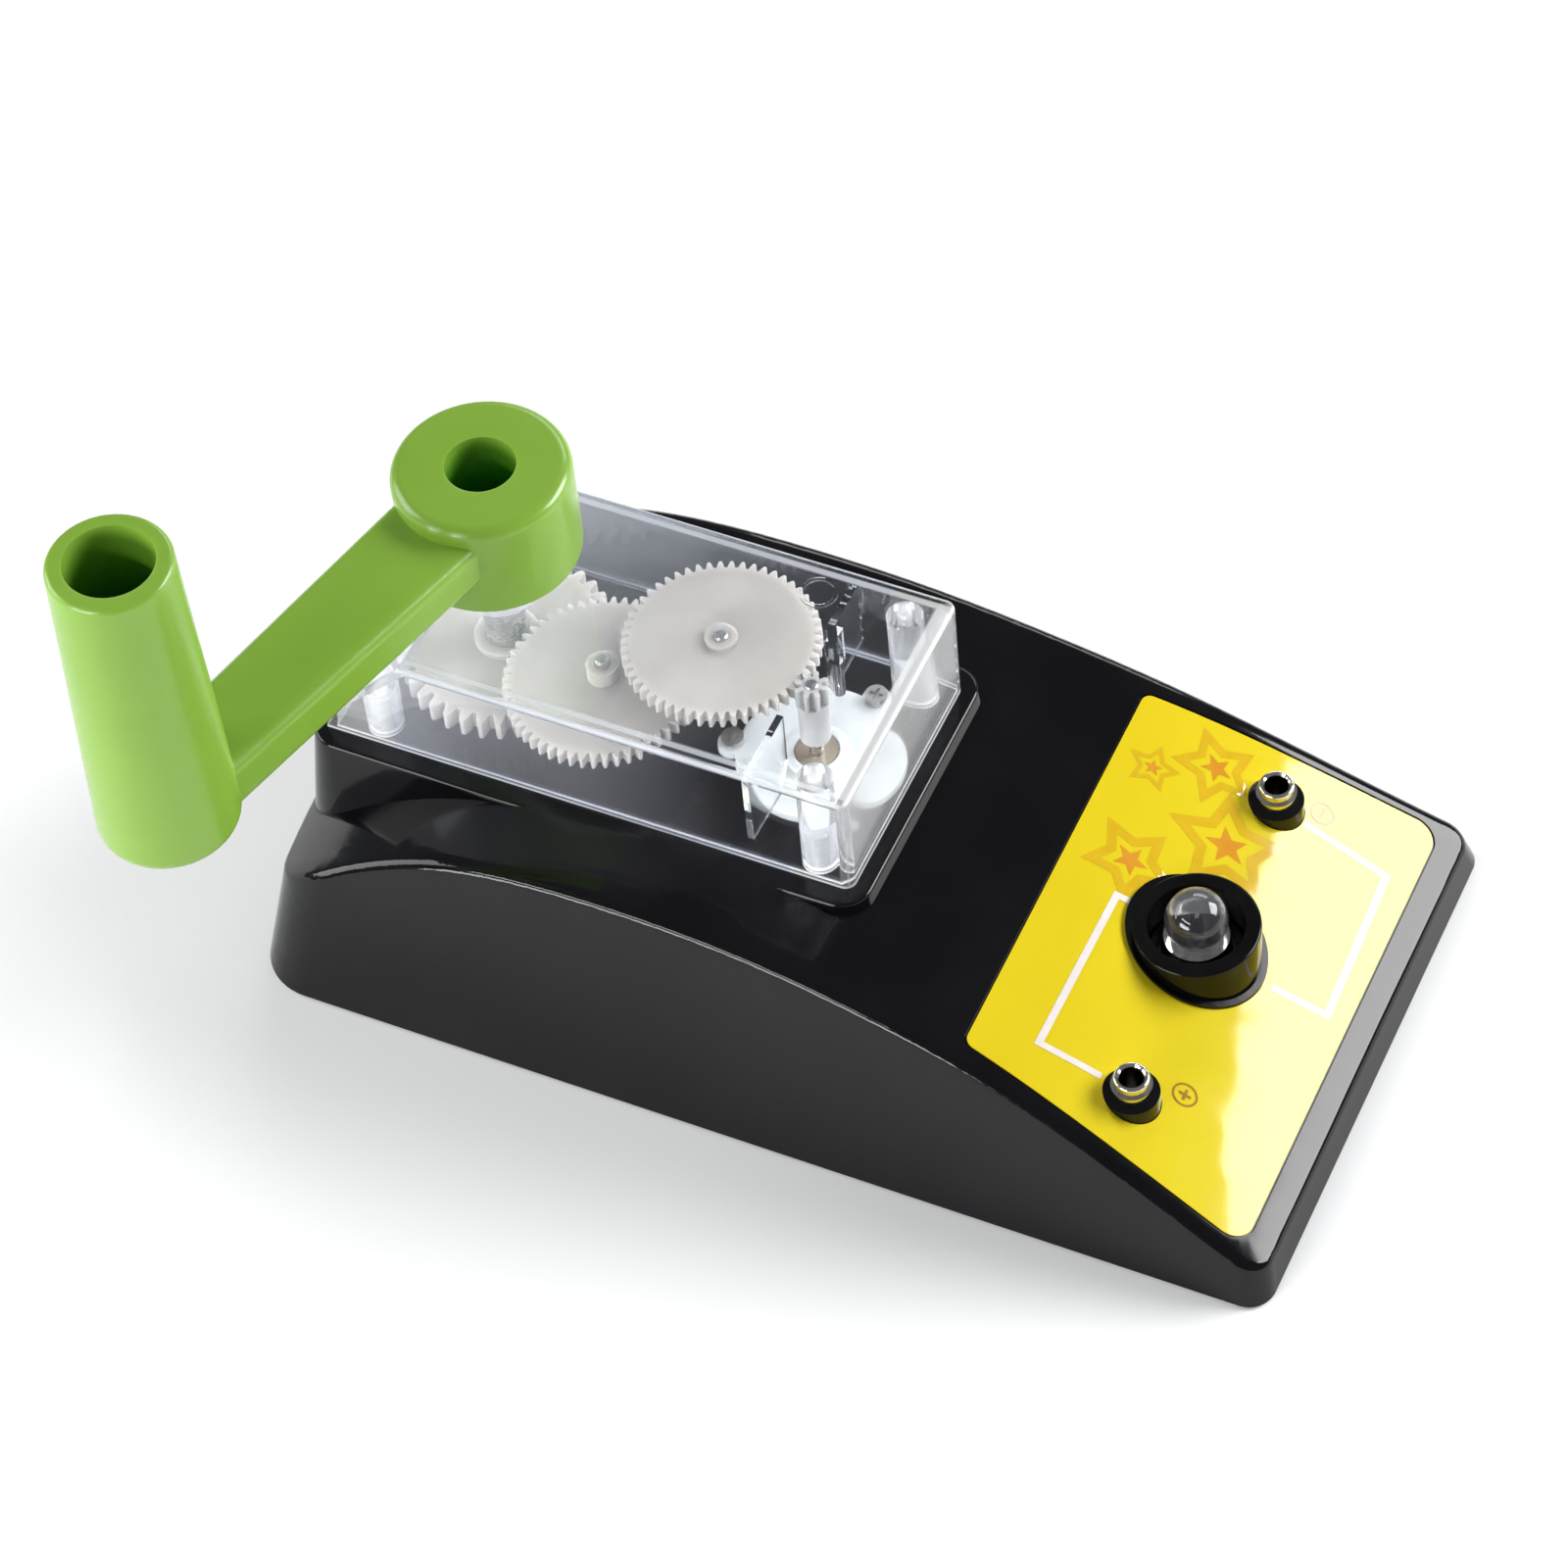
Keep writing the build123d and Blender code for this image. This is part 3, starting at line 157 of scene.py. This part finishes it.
M = {}
M["base"] = plastic("gloss_black", (0.0022, 0.0021, 0.0030), (0.0042, 0.0040, 0.0052),
                    scale=60, rough=(0.07, 0.12), wave_scale=32, wave_amt=0.10,
                    bump_scale=1500, bump_amt=0.015, spec=0.32)
M["holder"] = plastic("gloss_black_holder", (0.002, 0.002, 0.002), (0.004, 0.004, 0.004),
                      scale=150, rough=(0.07, 0.12), wave_scale=120, wave_amt=0.06, spec=0.20)
M["plate"] = plastic("satin_black", (0.010, 0.010, 0.011), (0.016, 0.016, 0.017),
                     scale=120, rough=(0.42, 0.55), bump_scale=2600, bump_amt=0.25,
                     wave_amt=0.04)
M["gear"] = plastic("natural_acetal", (0.360, 0.338, 0.308), (0.410, 0.386, 0.352),
                    scale=110, rough=(0.34, 0.46), wave_scale=160, wave_amt=0.10,
                    bump_scale=1800, bump_amt=0.05, sss=0.65, sss_scale=0.004)
M["pinion"] = plastic("white_acetal", (0.30, 0.30, 0.29), (0.38, 0.375, 0.365),
                      scale=200, rough=(0.28, 0.4), sss=0.5, sss_scale=0.003)
M["retainer"] = plastic("milky_disc", (0.50, 0.53, 0.53), (0.60, 0.63, 0.62),
                        scale=160, rough=(0.30, 0.42), sss=0.5, sss_scale=0.003)
M["cap"] = plastic("nylon_cap", (0.62, 0.60, 0.54), (0.70, 0.68, 0.62), scale=200,
                   rough=(0.45, 0.6))
M["steel"] = metal("ground_steel", (0.50, 0.50, 0.51), (0.66, 0.66, 0.67))
M["zinc"] = metal("zinc_screw", (0.45, 0.45, 0.44), (0.62, 0.62, 0.60), (0.28, 0.42))
M["can"] = metal("motor_can_steel", (0.52, 0.52, 0.53), (0.62, 0.62, 0.63),
                 (0.25, 0.38), 150, (1, 1, 10), 0.08)
M["nickel"] = metal("bright_nickel", (0.70, 0.67, 0.62), (0.80, 0.77, 0.72),
                    (0.08, 0.16), 600, (1, 1, 1), 0.03)
M["cap_nickel"] = metal("lamp_cap_nickel", (0.34, 0.33, 0.32), (0.46, 0.45, 0.44),
                        (0.12, 0.22), 500, (1, 1, 1), 0.05)
M["dark_nickel"] = metal("socket_shell_dark", (0.07, 0.07, 0.07), (0.12, 0.12, 0.125),
                         (0.14, 0.26), 500, (1, 1, 4), 0.05)
M["brass"] = metal("sintered_bronze", (0.50, 0.43, 0.33), (0.60, 0.52, 0.41), (0.3, 0.45))
M["tin"] = metal("tinned_brass", (0.62, 0.58, 0.48), (0.72, 0.68, 0.58), (0.3, 0.45))
M["solder"] = metal("solder", (0.42, 0.42, 0.43), (0.58, 0.58, 0.58), (0.3, 0.5), 900)
M["copper"] = metal("enamelled_copper", (0.55, 0.20, 0.08), (0.70, 0.32, 0.16),
                    (0.28, 0.4), 400, (1, 1, 12), 0.35)
M["laminate"] = metal("laminations", (0.16, 0.16, 0.17), (0.30, 0.30, 0.31),
                      (0.4, 0.6), 200, (1, 1, 20), 0.4)
M["ferrite"] = plastic("ferrite", (0.03, 0.03, 0.032), (0.05, 0.05, 0.052), scale=400,
                       rough=(0.5, 0.7), bump_scale=2500, bump_amt=0.3)
M["wire_red"] = plastic("wire_red", (0.42, 0.012, 0.010), (0.52, 0.02, 0.016),
                        scale=300, rough=(0.35, 0.5))
M["wire_black"] = plastic("wire_black", (0.012, 0.012, 0.012), (0.02, 0.02, 0.02),
                          scale=300, rough=(0.35, 0.5))


def math_node(nt, op, a, b=None, clamp=False):
    n = nt.nodes.new("ShaderNodeMath")
    n.operation = op
    n.use_clamp = clamp
    for i, v in enumerate((a, b)):
        if v is None:
            continue
        if isinstance(v, (int, float)):
            n.inputs[i].default_value = v
        else:
            nt.links.new(v, n.inputs[i])
    return n.outputs[0]


def near_axis(nt, sep, x, y, r0, r1):
    """1 inside radius r0 of a vertical axis, falling to 0 at r1 (metres, object space)."""
    dx = math_node(nt, "SUBTRACT", sep.outputs["X"], x)
    dy = math_node(nt, "SUBTRACT", sep.outputs["Y"], y)
    d2 = math_node(nt, "ADD", math_node(nt, "MULTIPLY", dx, dx), math_node(nt, "MULTIPLY", dy, dy))
    return remap(nt, math_node(nt, "SQRT", d2), 1.0, 0.0, r0, r1)


def green_material():
    """Lime moulded plastic, with painted shade: a deep dark green painted down inside its two blind holes."""
    m = plastic("lime_green", (0.196, 0.362, 0.038), (0.212, 0.382, 0.044),
                scale=40, rough=(0.20, 0.27), wave_scale=55, wave_amt=0.05,
                bump_scale=1400, bump_amt=0.012, sss=0.22, sss_scale=0.0022)
    nt = m.node_tree
    b = next(n for n in nt.nodes if n.type == "BSDF_PRINCIPLED")
    tc = next(n for n in nt.nodes if n.type == "TEX_COORD")
    src = b.inputs["Base Color"].links[0].from_socket
    sep = nt.nodes.new("ShaderNodeSeparateXYZ")
    nt.links.new(tc.outputs["Object"], sep.inputs[0])
    # painted shade: inside the grip bore and the hub bore the base colour is mixed towards a deep dark green,
    # strongest deep down and fading out towards their mouths
    gx = -0.0508 + 0.0642 * math.cos(math.radians(255))
    gy = 0.0642 * math.sin(math.radians(255))
    g = near_axis(nt, sep, gx, gy, 0.00603, 0.00608)
    g = math_node(nt, "MULTIPLY", g, remap(nt, sep.outputs["Z"], 1.0, 0.0, 0.100, 0.1165))
    h = near_axis(nt, sep, -0.0508, 0.0, 0.00497, 0.00502)
    h = math_node(nt, "MULTIPLY", h, remap(nt, sep.outputs["Z"], 1.0, 0.0, 0.068, 0.0762))
    f = math_node(nt, "MAXIMUM", g, h, True)
    mix = nt.nodes.new("ShaderNodeMix")
    mix.data_type = "RGBA"
    mix.inputs["B"].default_value = (0.030, 0.290, 0.006, 1)
    nt.links.new(f, mix.inputs["Factor"])
    nt.links.new(src, mix.inputs["A"])
    nt.links.new(mix.outputs["Result"], b.inputs["Base Color"])
    return m


M["green"] = green_material()


def clear(name, tint, ior, rough, haze_and_painted_light, haze_col, see=(0.95, 0.955, 0.97), wave=0.12):
    """Clear moulded part: refracting shell with a slight cloudiness in the material; on the gearbox cover the
    cloudiness factor also carries painted reflection and painted highlights.
    """
    m, nt, b, tc, out = mat_base(name)
    b.inputs["Base Color"].default_value = (*tint, 1)
    b.inputs["Transmission Weight"].default_value = 1.0
    b.inputs["IOR"].default_value = ior
    n = noise(nt, tc, 140, 4, 0.6)
    nt.links.new(remap(nt, n, rough[0], rough[1]), b.inputs["Roughness"])
    w = noise(nt, tc, 45, 1.0)
    nt.links.new(bump(nt, w, wave, 0.0004), b.inputs["Normal"])
    dif = nt.nodes.new("ShaderNodeBsdfDiffuse")
    c = noise(nt, tc, 70, 4)
    hz = ramp(nt, c, tuple(0.88 * v for v in haze_col), haze_col)
    if callable(haze_and_painted_light):
        # thick lumps scatter a neutral white
        sep = nt.nodes.new("ShaderNodeSeparateXYZ")
        nt.links.new(tc.outputs["Object"], sep.inputs[0])
        ends = math_node(nt, "ABSOLUTE", math_node(nt, "ADD", sep.outputs["X"], 0.02945))
        lump = remap(nt, ends, 0.0, 1.0, 0.0300, 0.0306)
        tint2 = nt.nodes.new("ShaderNodeMix")
        tint2.data_type = "RGBA"
        tint2.inputs["B"].default_value = (0.84, 0.85, 0.85, 1)
        nt.links.new(lump, tint2.inputs["Factor"])
        nt.links.new(hz, tint2.inputs["A"])
        hz = tint2.outputs["Result"]
    nt.links.new(hz, dif.inputs["Color"])
    mix = nt.nodes.new("ShaderNodeMixShader")
    if callable(haze_and_painted_light):
        nt.links.new(haze_and_painted_light(nt, tc), mix.inputs[0])
    else:
        mix.inputs[0].default_value = haze_and_painted_light
    nt.links.new(b.outputs[0], mix.inputs[1])
    nt.links.new(dif.outputs[0], mix.inputs[2])
    # light that only passes through is not blocked by the clear wall
    tr = nt.nodes.new("ShaderNodeBsdfTransparent")
    tr.inputs["Color"].default_value = (*see, 1)
    lp = nt.nodes.new("ShaderNodeLightPath")
    mix2 = nt.nodes.new("ShaderNodeMixShader")
    nt.links.new(lp.outputs["Is Shadow Ray"], mix2.inputs[0])
    nt.links.new(mix.outputs[0], mix2.inputs[1])
    nt.links.new(tr.outputs[0], mix2.inputs[2])
    nt.links.new(mix2.outputs[0], out.inputs[0])
    return m


def cover_haze_and_painted_light(nt, tc):
    """Cloudiness of the gearbox cover, milky where the moulding is thick (corner posts, bearing boss), with
    painted light mixed in:
    a painted reflection making the roof lighter towards the crank end, painted highlights as white lines along
    its outer edges and its inner roof corner, and a little more whiteness on the end wall."""
    sep = nt.nodes.new("ShaderNodeSeparateXYZ")
    nt.links.new(tc.outputs["Object"], sep.inputs[0])
    x, y, z = (sep.outputs[k] for k in "XYZ")
    # painted reflection: the whitish layer is graded stronger towards the crank end, which paints that end of the
    # roof lighter; the noise makes the cloudiness uneven
    base = remap(nt, x, 0.130, 0.006, -0.062, -0.008)
    cloud = remap(nt, noise(nt, tc, 28, 3, 0.55), 0.75, 1.25)
    base = math_node(nt, "MULTIPLY", base, cloud)
    thick = None
    for px, py in ((-0.0628, -0.0152), (-0.0628, 0.0152), (0.0039, -0.0152), (0.0039, 0.0152)):
        f = near_axis(nt, sep, px, py, 0.00262, 0.00275)
        thick = f if thick is None else math_node(nt, "MAXIMUM", thick, f)
    thick = math_node(nt, "MULTIPLY", thick, remap(nt, z, 0.20, 0.10, 0.0455, 0.0495))
    boss = math_node(nt, "MULTIPLY", near_axis(nt, sep, -0.0508, 0.0, 0.0055, 0.0057), 0.40)
    # painted highlights: white bands painted along the top edges, the upright corners and the lower rim of the
    # cover
    ay = math_node(nt, "ABSOLUTE", y)
    e_top = remap(nt, z, 0.0, 1.0, 0.0506, 0.0512)
    e_side = remap(nt, ay, 0.0, 1.0, 0.0186, 0.0193)
    e_end = remap(nt, x, 0.0, 1.0, 0.0092, 0.0099)
    e_low = remap(nt, z, 1.0, 0.0, 0.0335, 0.0342)
    e = math_node(nt, "MULTIPLY", e_top, math_node(nt, "MAXIMUM", e_side, e_end))
    e = math_node(nt, "MAXIMUM", e, math_node(nt, "MULTIPLY", e_side, e_end))
    e = math_node(nt, "MAXIMUM", e, e_low)
    e = math_node(nt, "MULTIPLY", e, 0.85)
    # painted highlight: a second bright line painted on the roof, where the inner corner runs
    top = remap(nt, z, 0.0, 1.0, 0.0511, 0.0513)
    l_side = math_node(nt, "MULTIPLY", remap(nt, ay, 0.0, 1.0, 0.0170, 0.0174),
                       remap(nt, ay, 1.0, 0.0, 0.0180, 0.0183))
    l_end = math_node(nt, "MULTIPLY", remap(nt, x, 0.0, 1.0, 0.0076, 0.0080),
                      remap(nt, ay, 1.0, 0.0, 0.0180, 0.0184))
    line = math_node(nt, "MAXIMUM", math_node(nt, "MULTIPLY", l_side, 0.50),
                     math_node(nt, "MULTIPLY", l_end, 0.55))
    e = math_node(nt, "MAXIMUM", e, math_node(nt, "MULTIPLY", line, top))
    # the end wall at +X gets a little more whiteness
    end = math_node(nt, "MULTIPLY", remap(nt, x, 0.0, 1.0, 0.0084, 0.0088), 0.17)
    e = math_node(nt, "MAXIMUM", e, end)
    f = math_node(nt, "MAXIMUM", thick, boss)
    f = math_node(nt, "MAXIMUM", f, e)
    return math_node(nt, "MAXIMUM", base, f, True)


M["clear"] = clear("clear_styrene", (0.96, 0.97, 0.99), 1.50, (0.03, 0.05), cover_haze_and_painted_light,
                   (0.80, 0.83, 0.92))
M["bulb"] = clear("lamp_glass", (0.985, 0.99, 1.0), 1.47, (0.0, 0.01), 0.01,
                  (0.9, 0.9, 0.95), (0.98, 0.98, 0.98), 0.04)


def label_material():
    m, nt, b, tc, out = mat_base("printed_label")
    sep = nt.nodes.new("ShaderNodeSeparateXYZ")
    nt.links.new(tc.outputs["Object"], sep.inputs[0])
    # the yellow is made lighter and warmer towards +X
    grad = remap(nt, sep.outputs["X"], 0.0, 1.0, 0.030, 0.076)
    mott = noise(nt, tc, 55, 4, 0.6)
    base = ramp(nt, mott, (0.62, 0.475, 0.0075), (0.655, 0.505, 0.0105))
    warm = nt.nodes.new("ShaderNodeMix")
    warm.data_type = "RGBA"
    warm.inputs["B"].default_value = (0.67, 0.545, 0.020, 1)
    nt.links.new(grad, warm.inputs["Factor"])
    nt.links.new(base, warm.inputs["A"])
    nt.links.new(warm.outputs["Result"], b.inputs["Base Color"])
    fine = noise(nt, tc, 1800, 2)
    nt.links.new(remap(nt, fine, 0.03, 0.06), b.inputs["Roughness"])
    wave = noise(nt, tc, 48, 2)
    nt.links.new(bump(nt, wave, 0.24, 0.0005), b.inputs["Normal"])
    b.inputs["IOR"].default_value = 1.5
    b.inputs["Specular IOR Level"].default_value = 0.42
    return m


M["label"] = label_material()


def print_mat(name, c0, c1):
    return plastic(name, c0, c1, scale=400, rough=(0.04, 0.07), wave_scale=48, wave_amt=0.24)


M["print_star"] = print_mat("print_star", (0.57, 0.36, 0.009), (0.61, 0.395, 0.013))
M["print_star_in"] = print_mat("print_star_in", (0.56, 0.235, 0.016), (0.60, 0.265, 0.022))
M["print_white"] = print_mat("print_white", (0.70, 0.64, 0.60), (0.76, 0.70, 0.66))
M["print_brown"] = print_mat("print_brown", (0.30, 0.15, 0.02), (0.38, 0.20, 0.03))

ASSIGN = {
    "base_shell": "base", "panel_label": "label", "bottom_plate": "plate",
    "bottom_screws": "zinc", "gear_cover": "clear",
    "cover_screws": "zinc", "second_axle": "steel", "third_axle": "steel",
    "crank_shaft": "steel", "crank_gear": "gear", "crank_handle": "green",
    "crank_screw": "zinc", "second_gear": "gear", "third_gear": "gear",
    "motor_can": "can", "motor_magnets": "ferrite", "motor_bearing": "brass",
    "motor_end_cap": "cap", "motor_tags": "tin", "motor_retainer": "retainer",
    "retainer_screws": "zinc", "motor_shaft": "steel", "motor_armature": "laminate",
    "motor_windings": "copper", "motor_commutator": "copper", "motor_pinion": "pinion",
    "lamp_holder": "holder", "lamp_socket_shell": "dark_nickel", "lamp_contact": "tin",
    "bulb_base": "cap_nickel", "bulb_tip": "solder", "bulb_glass": "bulb",
    "bulb_filament": "steel", "socket_front": "nickel", "socket_back": "nickel",
    "solder_tags": "tin", "socket_nuts": "zinc", "wire_front": "wire_red",
    "wire_back": "wire_black", "lamp_wire_front": "wire_red",
    "lamp_wire_back": "wire_black",
}


def smooth_group():
    """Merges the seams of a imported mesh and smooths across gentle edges."""
    g = bpy.data.node_groups.new("smooth_by_edge", "GeometryNodeTree")
    g.interface.new_socket("Geometry", in_out="INPUT", socket_type="NodeSocketGeometry")
    g.interface.new_socket("Geometry", in_out="OUTPUT", socket_type="NodeSocketGeometry")
    gi = g.nodes.new("NodeGroupInput")
    go = g.nodes.new("NodeGroupOutput")
    mg = g.nodes.new("GeometryNodeMergeByDistance")
    mg.inputs["Distance"].default_value = 2e-6
    s1 = g.nodes.new("GeometryNodeSetShadeSmooth")
    s1.domain = "FACE"
    s2 = g.nodes.new("GeometryNodeSetShadeSmooth")
    s2.domain = "EDGE"
    ang = g.nodes.new("GeometryNodeInputMeshEdgeAngle")
    cmp = g.nodes.new("FunctionNodeCompare")
    cmp.data_type = "FLOAT"
    cmp.operation = "LESS_THAN"
    cmp.inputs["B"].default_value = math.radians(28)
    g.links.new(ang.outputs["Unsigned Angle"], cmp.inputs["A"])
    g.links.new(gi.outputs[0], mg.inputs[0])
    g.links.new(mg.outputs[0], s1.inputs[0])
    g.links.new(s1.outputs[0], s2.inputs[0])
    g.links.new(cmp.outputs["Result"], s2.inputs["Shade Smooth"])
    g.links.new(s2.outputs[0], go.inputs[0])
    return g


SMOOTH = smooth_group()
for name, ob in nodes.items():
    mt = M[ASSIGN[name]]
    if not ob.data.materials:
        ob.data.materials.append(mt)
    for i in range(len(ob.material_slots)):
        ob.material_slots[i].material = mt
    if ob.data.has_custom_normals:
        ob.data.free_custom_normals() if hasattr(ob.data, "free_custom_normals") else None
    md = ob.modifiers.new("smooth", "NODES")
    md.node_group = SMOOTH

# ------------------------------------------------------------------ printed marks
LABEL_TREE = None


def label_tree():
    o = nodes["panel_label"]
    vs = [v.co.copy() for v in o.data.vertices]
    fs = [tuple(p.vertices) for p in o.data.polygons]
    return BVHTree.FromPolygons(vs, fs)


LABEL_TREE = label_tree()


def on_label(x, y, lift=0.03):
    hit = LABEL_TREE.ray_cast(Vector((x * MM, y * MM, 0.08)), Vector((0, 0, -1)))
    z = hit[0].z if hit[0] is not None else 0.0
    return (x * MM, y * MM, z + lift * MM)


def decal(name, loops, mat, lift=0.03, cuts=2):
    """Thin ink film from closed outlines (outer loop first, holes after), laid on the label."""
    bm = bmesh.new()
    edges = []
    for lp in loops:
        vs = [bm.verts.new((x, y, 0)) for x, y in lp]
        for a, b in zip(vs, vs[1:] + vs[:1]):
            edges.append(bm.edges.new((a, b)))
    bmesh.ops.triangle_fill(bm, use_beauty=True, edges=edges)
    bmesh.ops.subdivide_edges(bm, edges=bm.edges[:], cuts=cuts, use_grid_fill=True)
    bmesh.ops.triangulate(bm, faces=bm.faces[:])
    for f in bm.faces:
        f.normal_update()
        if f.normal.z < 0:
            f.normal_flip()
    for v in bm.verts:
        v.co = Vector(on_label(v.co.x, v.co.y, lift))
    me = bpy.data.meshes.new(name)
    bm.to_mesh(me)
    bm.free()
    ob = bpy.data.objects.new(name, me)
    scene.collection.objects.link(ob)
    me.materials.append(mat)
    for p in me.polygons:
        p.use_smooth = True
    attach(ob, "base")
    return ob


def star(cx, cy, r, turn, inner=0.42):
    pts = []
    for i in range(10):
        a = math.radians(turn) + math.pi * i / 5
        q = r if i % 2 == 0 else r * inner
        pts.append((cx + q * math.cos(a), cy + q * math.sin(a)))
    return pts


def band(pts, w):
    """Outline of a line of width w along pts, mitred at its corners."""
    left, right = [], []
    for i, (x, y) in enumerate(pts):
        ds = []
        if i > 0:
            ds.append(Vector((x - pts[i - 1][0], y - pts[i - 1][1])).normalized())
        if i < len(pts) - 1:
            ds.append(Vector((pts[i + 1][0] - x, pts[i + 1][1] - y)).normalized())
        t = sum(ds, Vector((0, 0))).normalized()
        n = Vector((-t.y, t.x))
        k = w / 2 / max(0.3, n.dot(Vector((-ds[0].y, ds[0].x))))
        left.append((x + n.x * k, y + n.y * k))
        right.append((x - n.x * k, y - n.y * k))
    return left + right[::-1]


def ring(cx, cy, r, n=40):
    return [(cx + r * math.cos(2 * math.pi * i / n), cy + r * math.sin(2 * math.pi * i / n))
            for i in range(n)]


decal("print_circuit_left", [band([(43.2, 0.3), (40.8, 0.1), (40.5, -27.0), (49.4, -26.7)], 1.0)],
      M["print_white"], 0.05, 3)
decal("print_circuit_right", [band([(58.2, 26.6), (70.6, 26.3), (71.4, 1.0), (63.6, 0.2)], 1.0)],
      M["print_white"], 0.05, 3)
for i, (x, y, r, t) in enumerate([(37.4, 21.8, 3.9, 20), (44.9, 27.0, 6.4, 55),
                                  (40.3, 6.3, 7.0, 66), (50.6, 16.4, 8.6, 36)]):
    k = (0.66, 0.62, 0.60, 0.64)[i]
    decal(f"print_star_{i}", [star(x, y, r, t, 0.52), star(x, y, r * k, t, 0.52)],
          M["print_star"], 0.03, 3)
    decal(f"print_star_core_{i}", [star(x, y, r * 0.36, t + 8)], M["print_star_in"], 0.03, 2)
for nm, x, y, plus in (("plus", 59.7, -22.3, True), ("minus", 59.7, 29.7, False)):
    decal(f"print_{nm}_ring", [ring(x, y, 1.75), ring(x, y, 1.45)], M["print_brown"], 0.05, 1)
    decal(f"print_{nm}_bar", [[(x - .2, y - .85), (x + .2, y - .85), (x + .2, y + .85), (x - .2, y + .85)]],
          M["print_brown"], 0.05, 1)
    if plus:
        decal(f"print_{nm}_cross", [[(x - .85, y - .2), (x + .85, y - .2), (x + .85, y + .2), (x - .85, y + .2)]],
              M["print_brown"], 0.06, 1)

# ------------------------------------------------------------------ stage
me = bpy.data.meshes.new("floor")
S = 6.0
me.from_pydata([(-S, -S, 0), (S, -S, 0), (S, S, 0), (-S, S, 0)], [], [(0, 1, 2, 3)])
floor = bpy.data.objects.new("floor", me)
scene.collection.objects.link(floor)
fm, fnt, fb, ftc, fout = mat_base("studio_floor")
fb.inputs["Base Color"].default_value = (0.92, 0.92, 0.92, 1)
fb.inputs["Roughness"].default_value = 0.9
fb.inputs["Specular IOR Level"].default_value = 0.1
me.materials.append(fm)

w = bpy.data.worlds.new("studio")
scene.world = w
w.use_nodes = True
w.node_tree.nodes["Background"].inputs[0].default_value = (0.90, 0.95, 1.0, 1)
w.node_tree.nodes["Background"].inputs[1].default_value = 0.18


def area(name, at, target, sx, sy, power, col=(1, 1, 1), up=None):
    l = bpy.data.lights.new(name, "AREA")
    l.shape = "RECTANGLE"
    l.size, l.size_y = sx, sy
    l.energy = power
    l.color = col
    o = bpy.data.objects.new(name, l)
    z = (Vector(at) - Vector(target)).normalized()
    u = Vector(up or (0, 0, 1))
    y = (u - u.dot(z) * z).normalized()
    m = Matrix((y.cross(z), y, z)).transposed().to_4x4()
    m.translation = Vector(at)
    o.matrix_world = m
    scene.collection.objects.link(o)
    return o


# the box whose reflection lies on the right part of the panel; it also throws the soft
# shadow to the left and the front
area("softbox_panel", (0.572, 0.414, 0.390), (0.065, 0, 0.012), 0.50, 0.36, 8.6,
     up=(-0.443, -0.337, 0.831))
area("softbox_back", (-0.12, 0.95, 0.60), (0, 0, 0.02), 0.7, 0.28, 3.0)
area("softbox_left", (-1.17, -0.24, 0.58), (0, 0, 0.03), 0.8, 0.8, 10.5)
area("strip_front", (-0.40, -1.05, 0.72), (0, 0, 0.02), 0.8, 0.06, 4.6)
area("softbox_low", (-0.45, -1.30, 0.32), (0, 0, 0.05), 0.9, 0.3, 13.0)
scene.view_settings.view_transform = "Standard"
scene.view_settings.look = "None"
scene.view_settings.exposure = 0.0
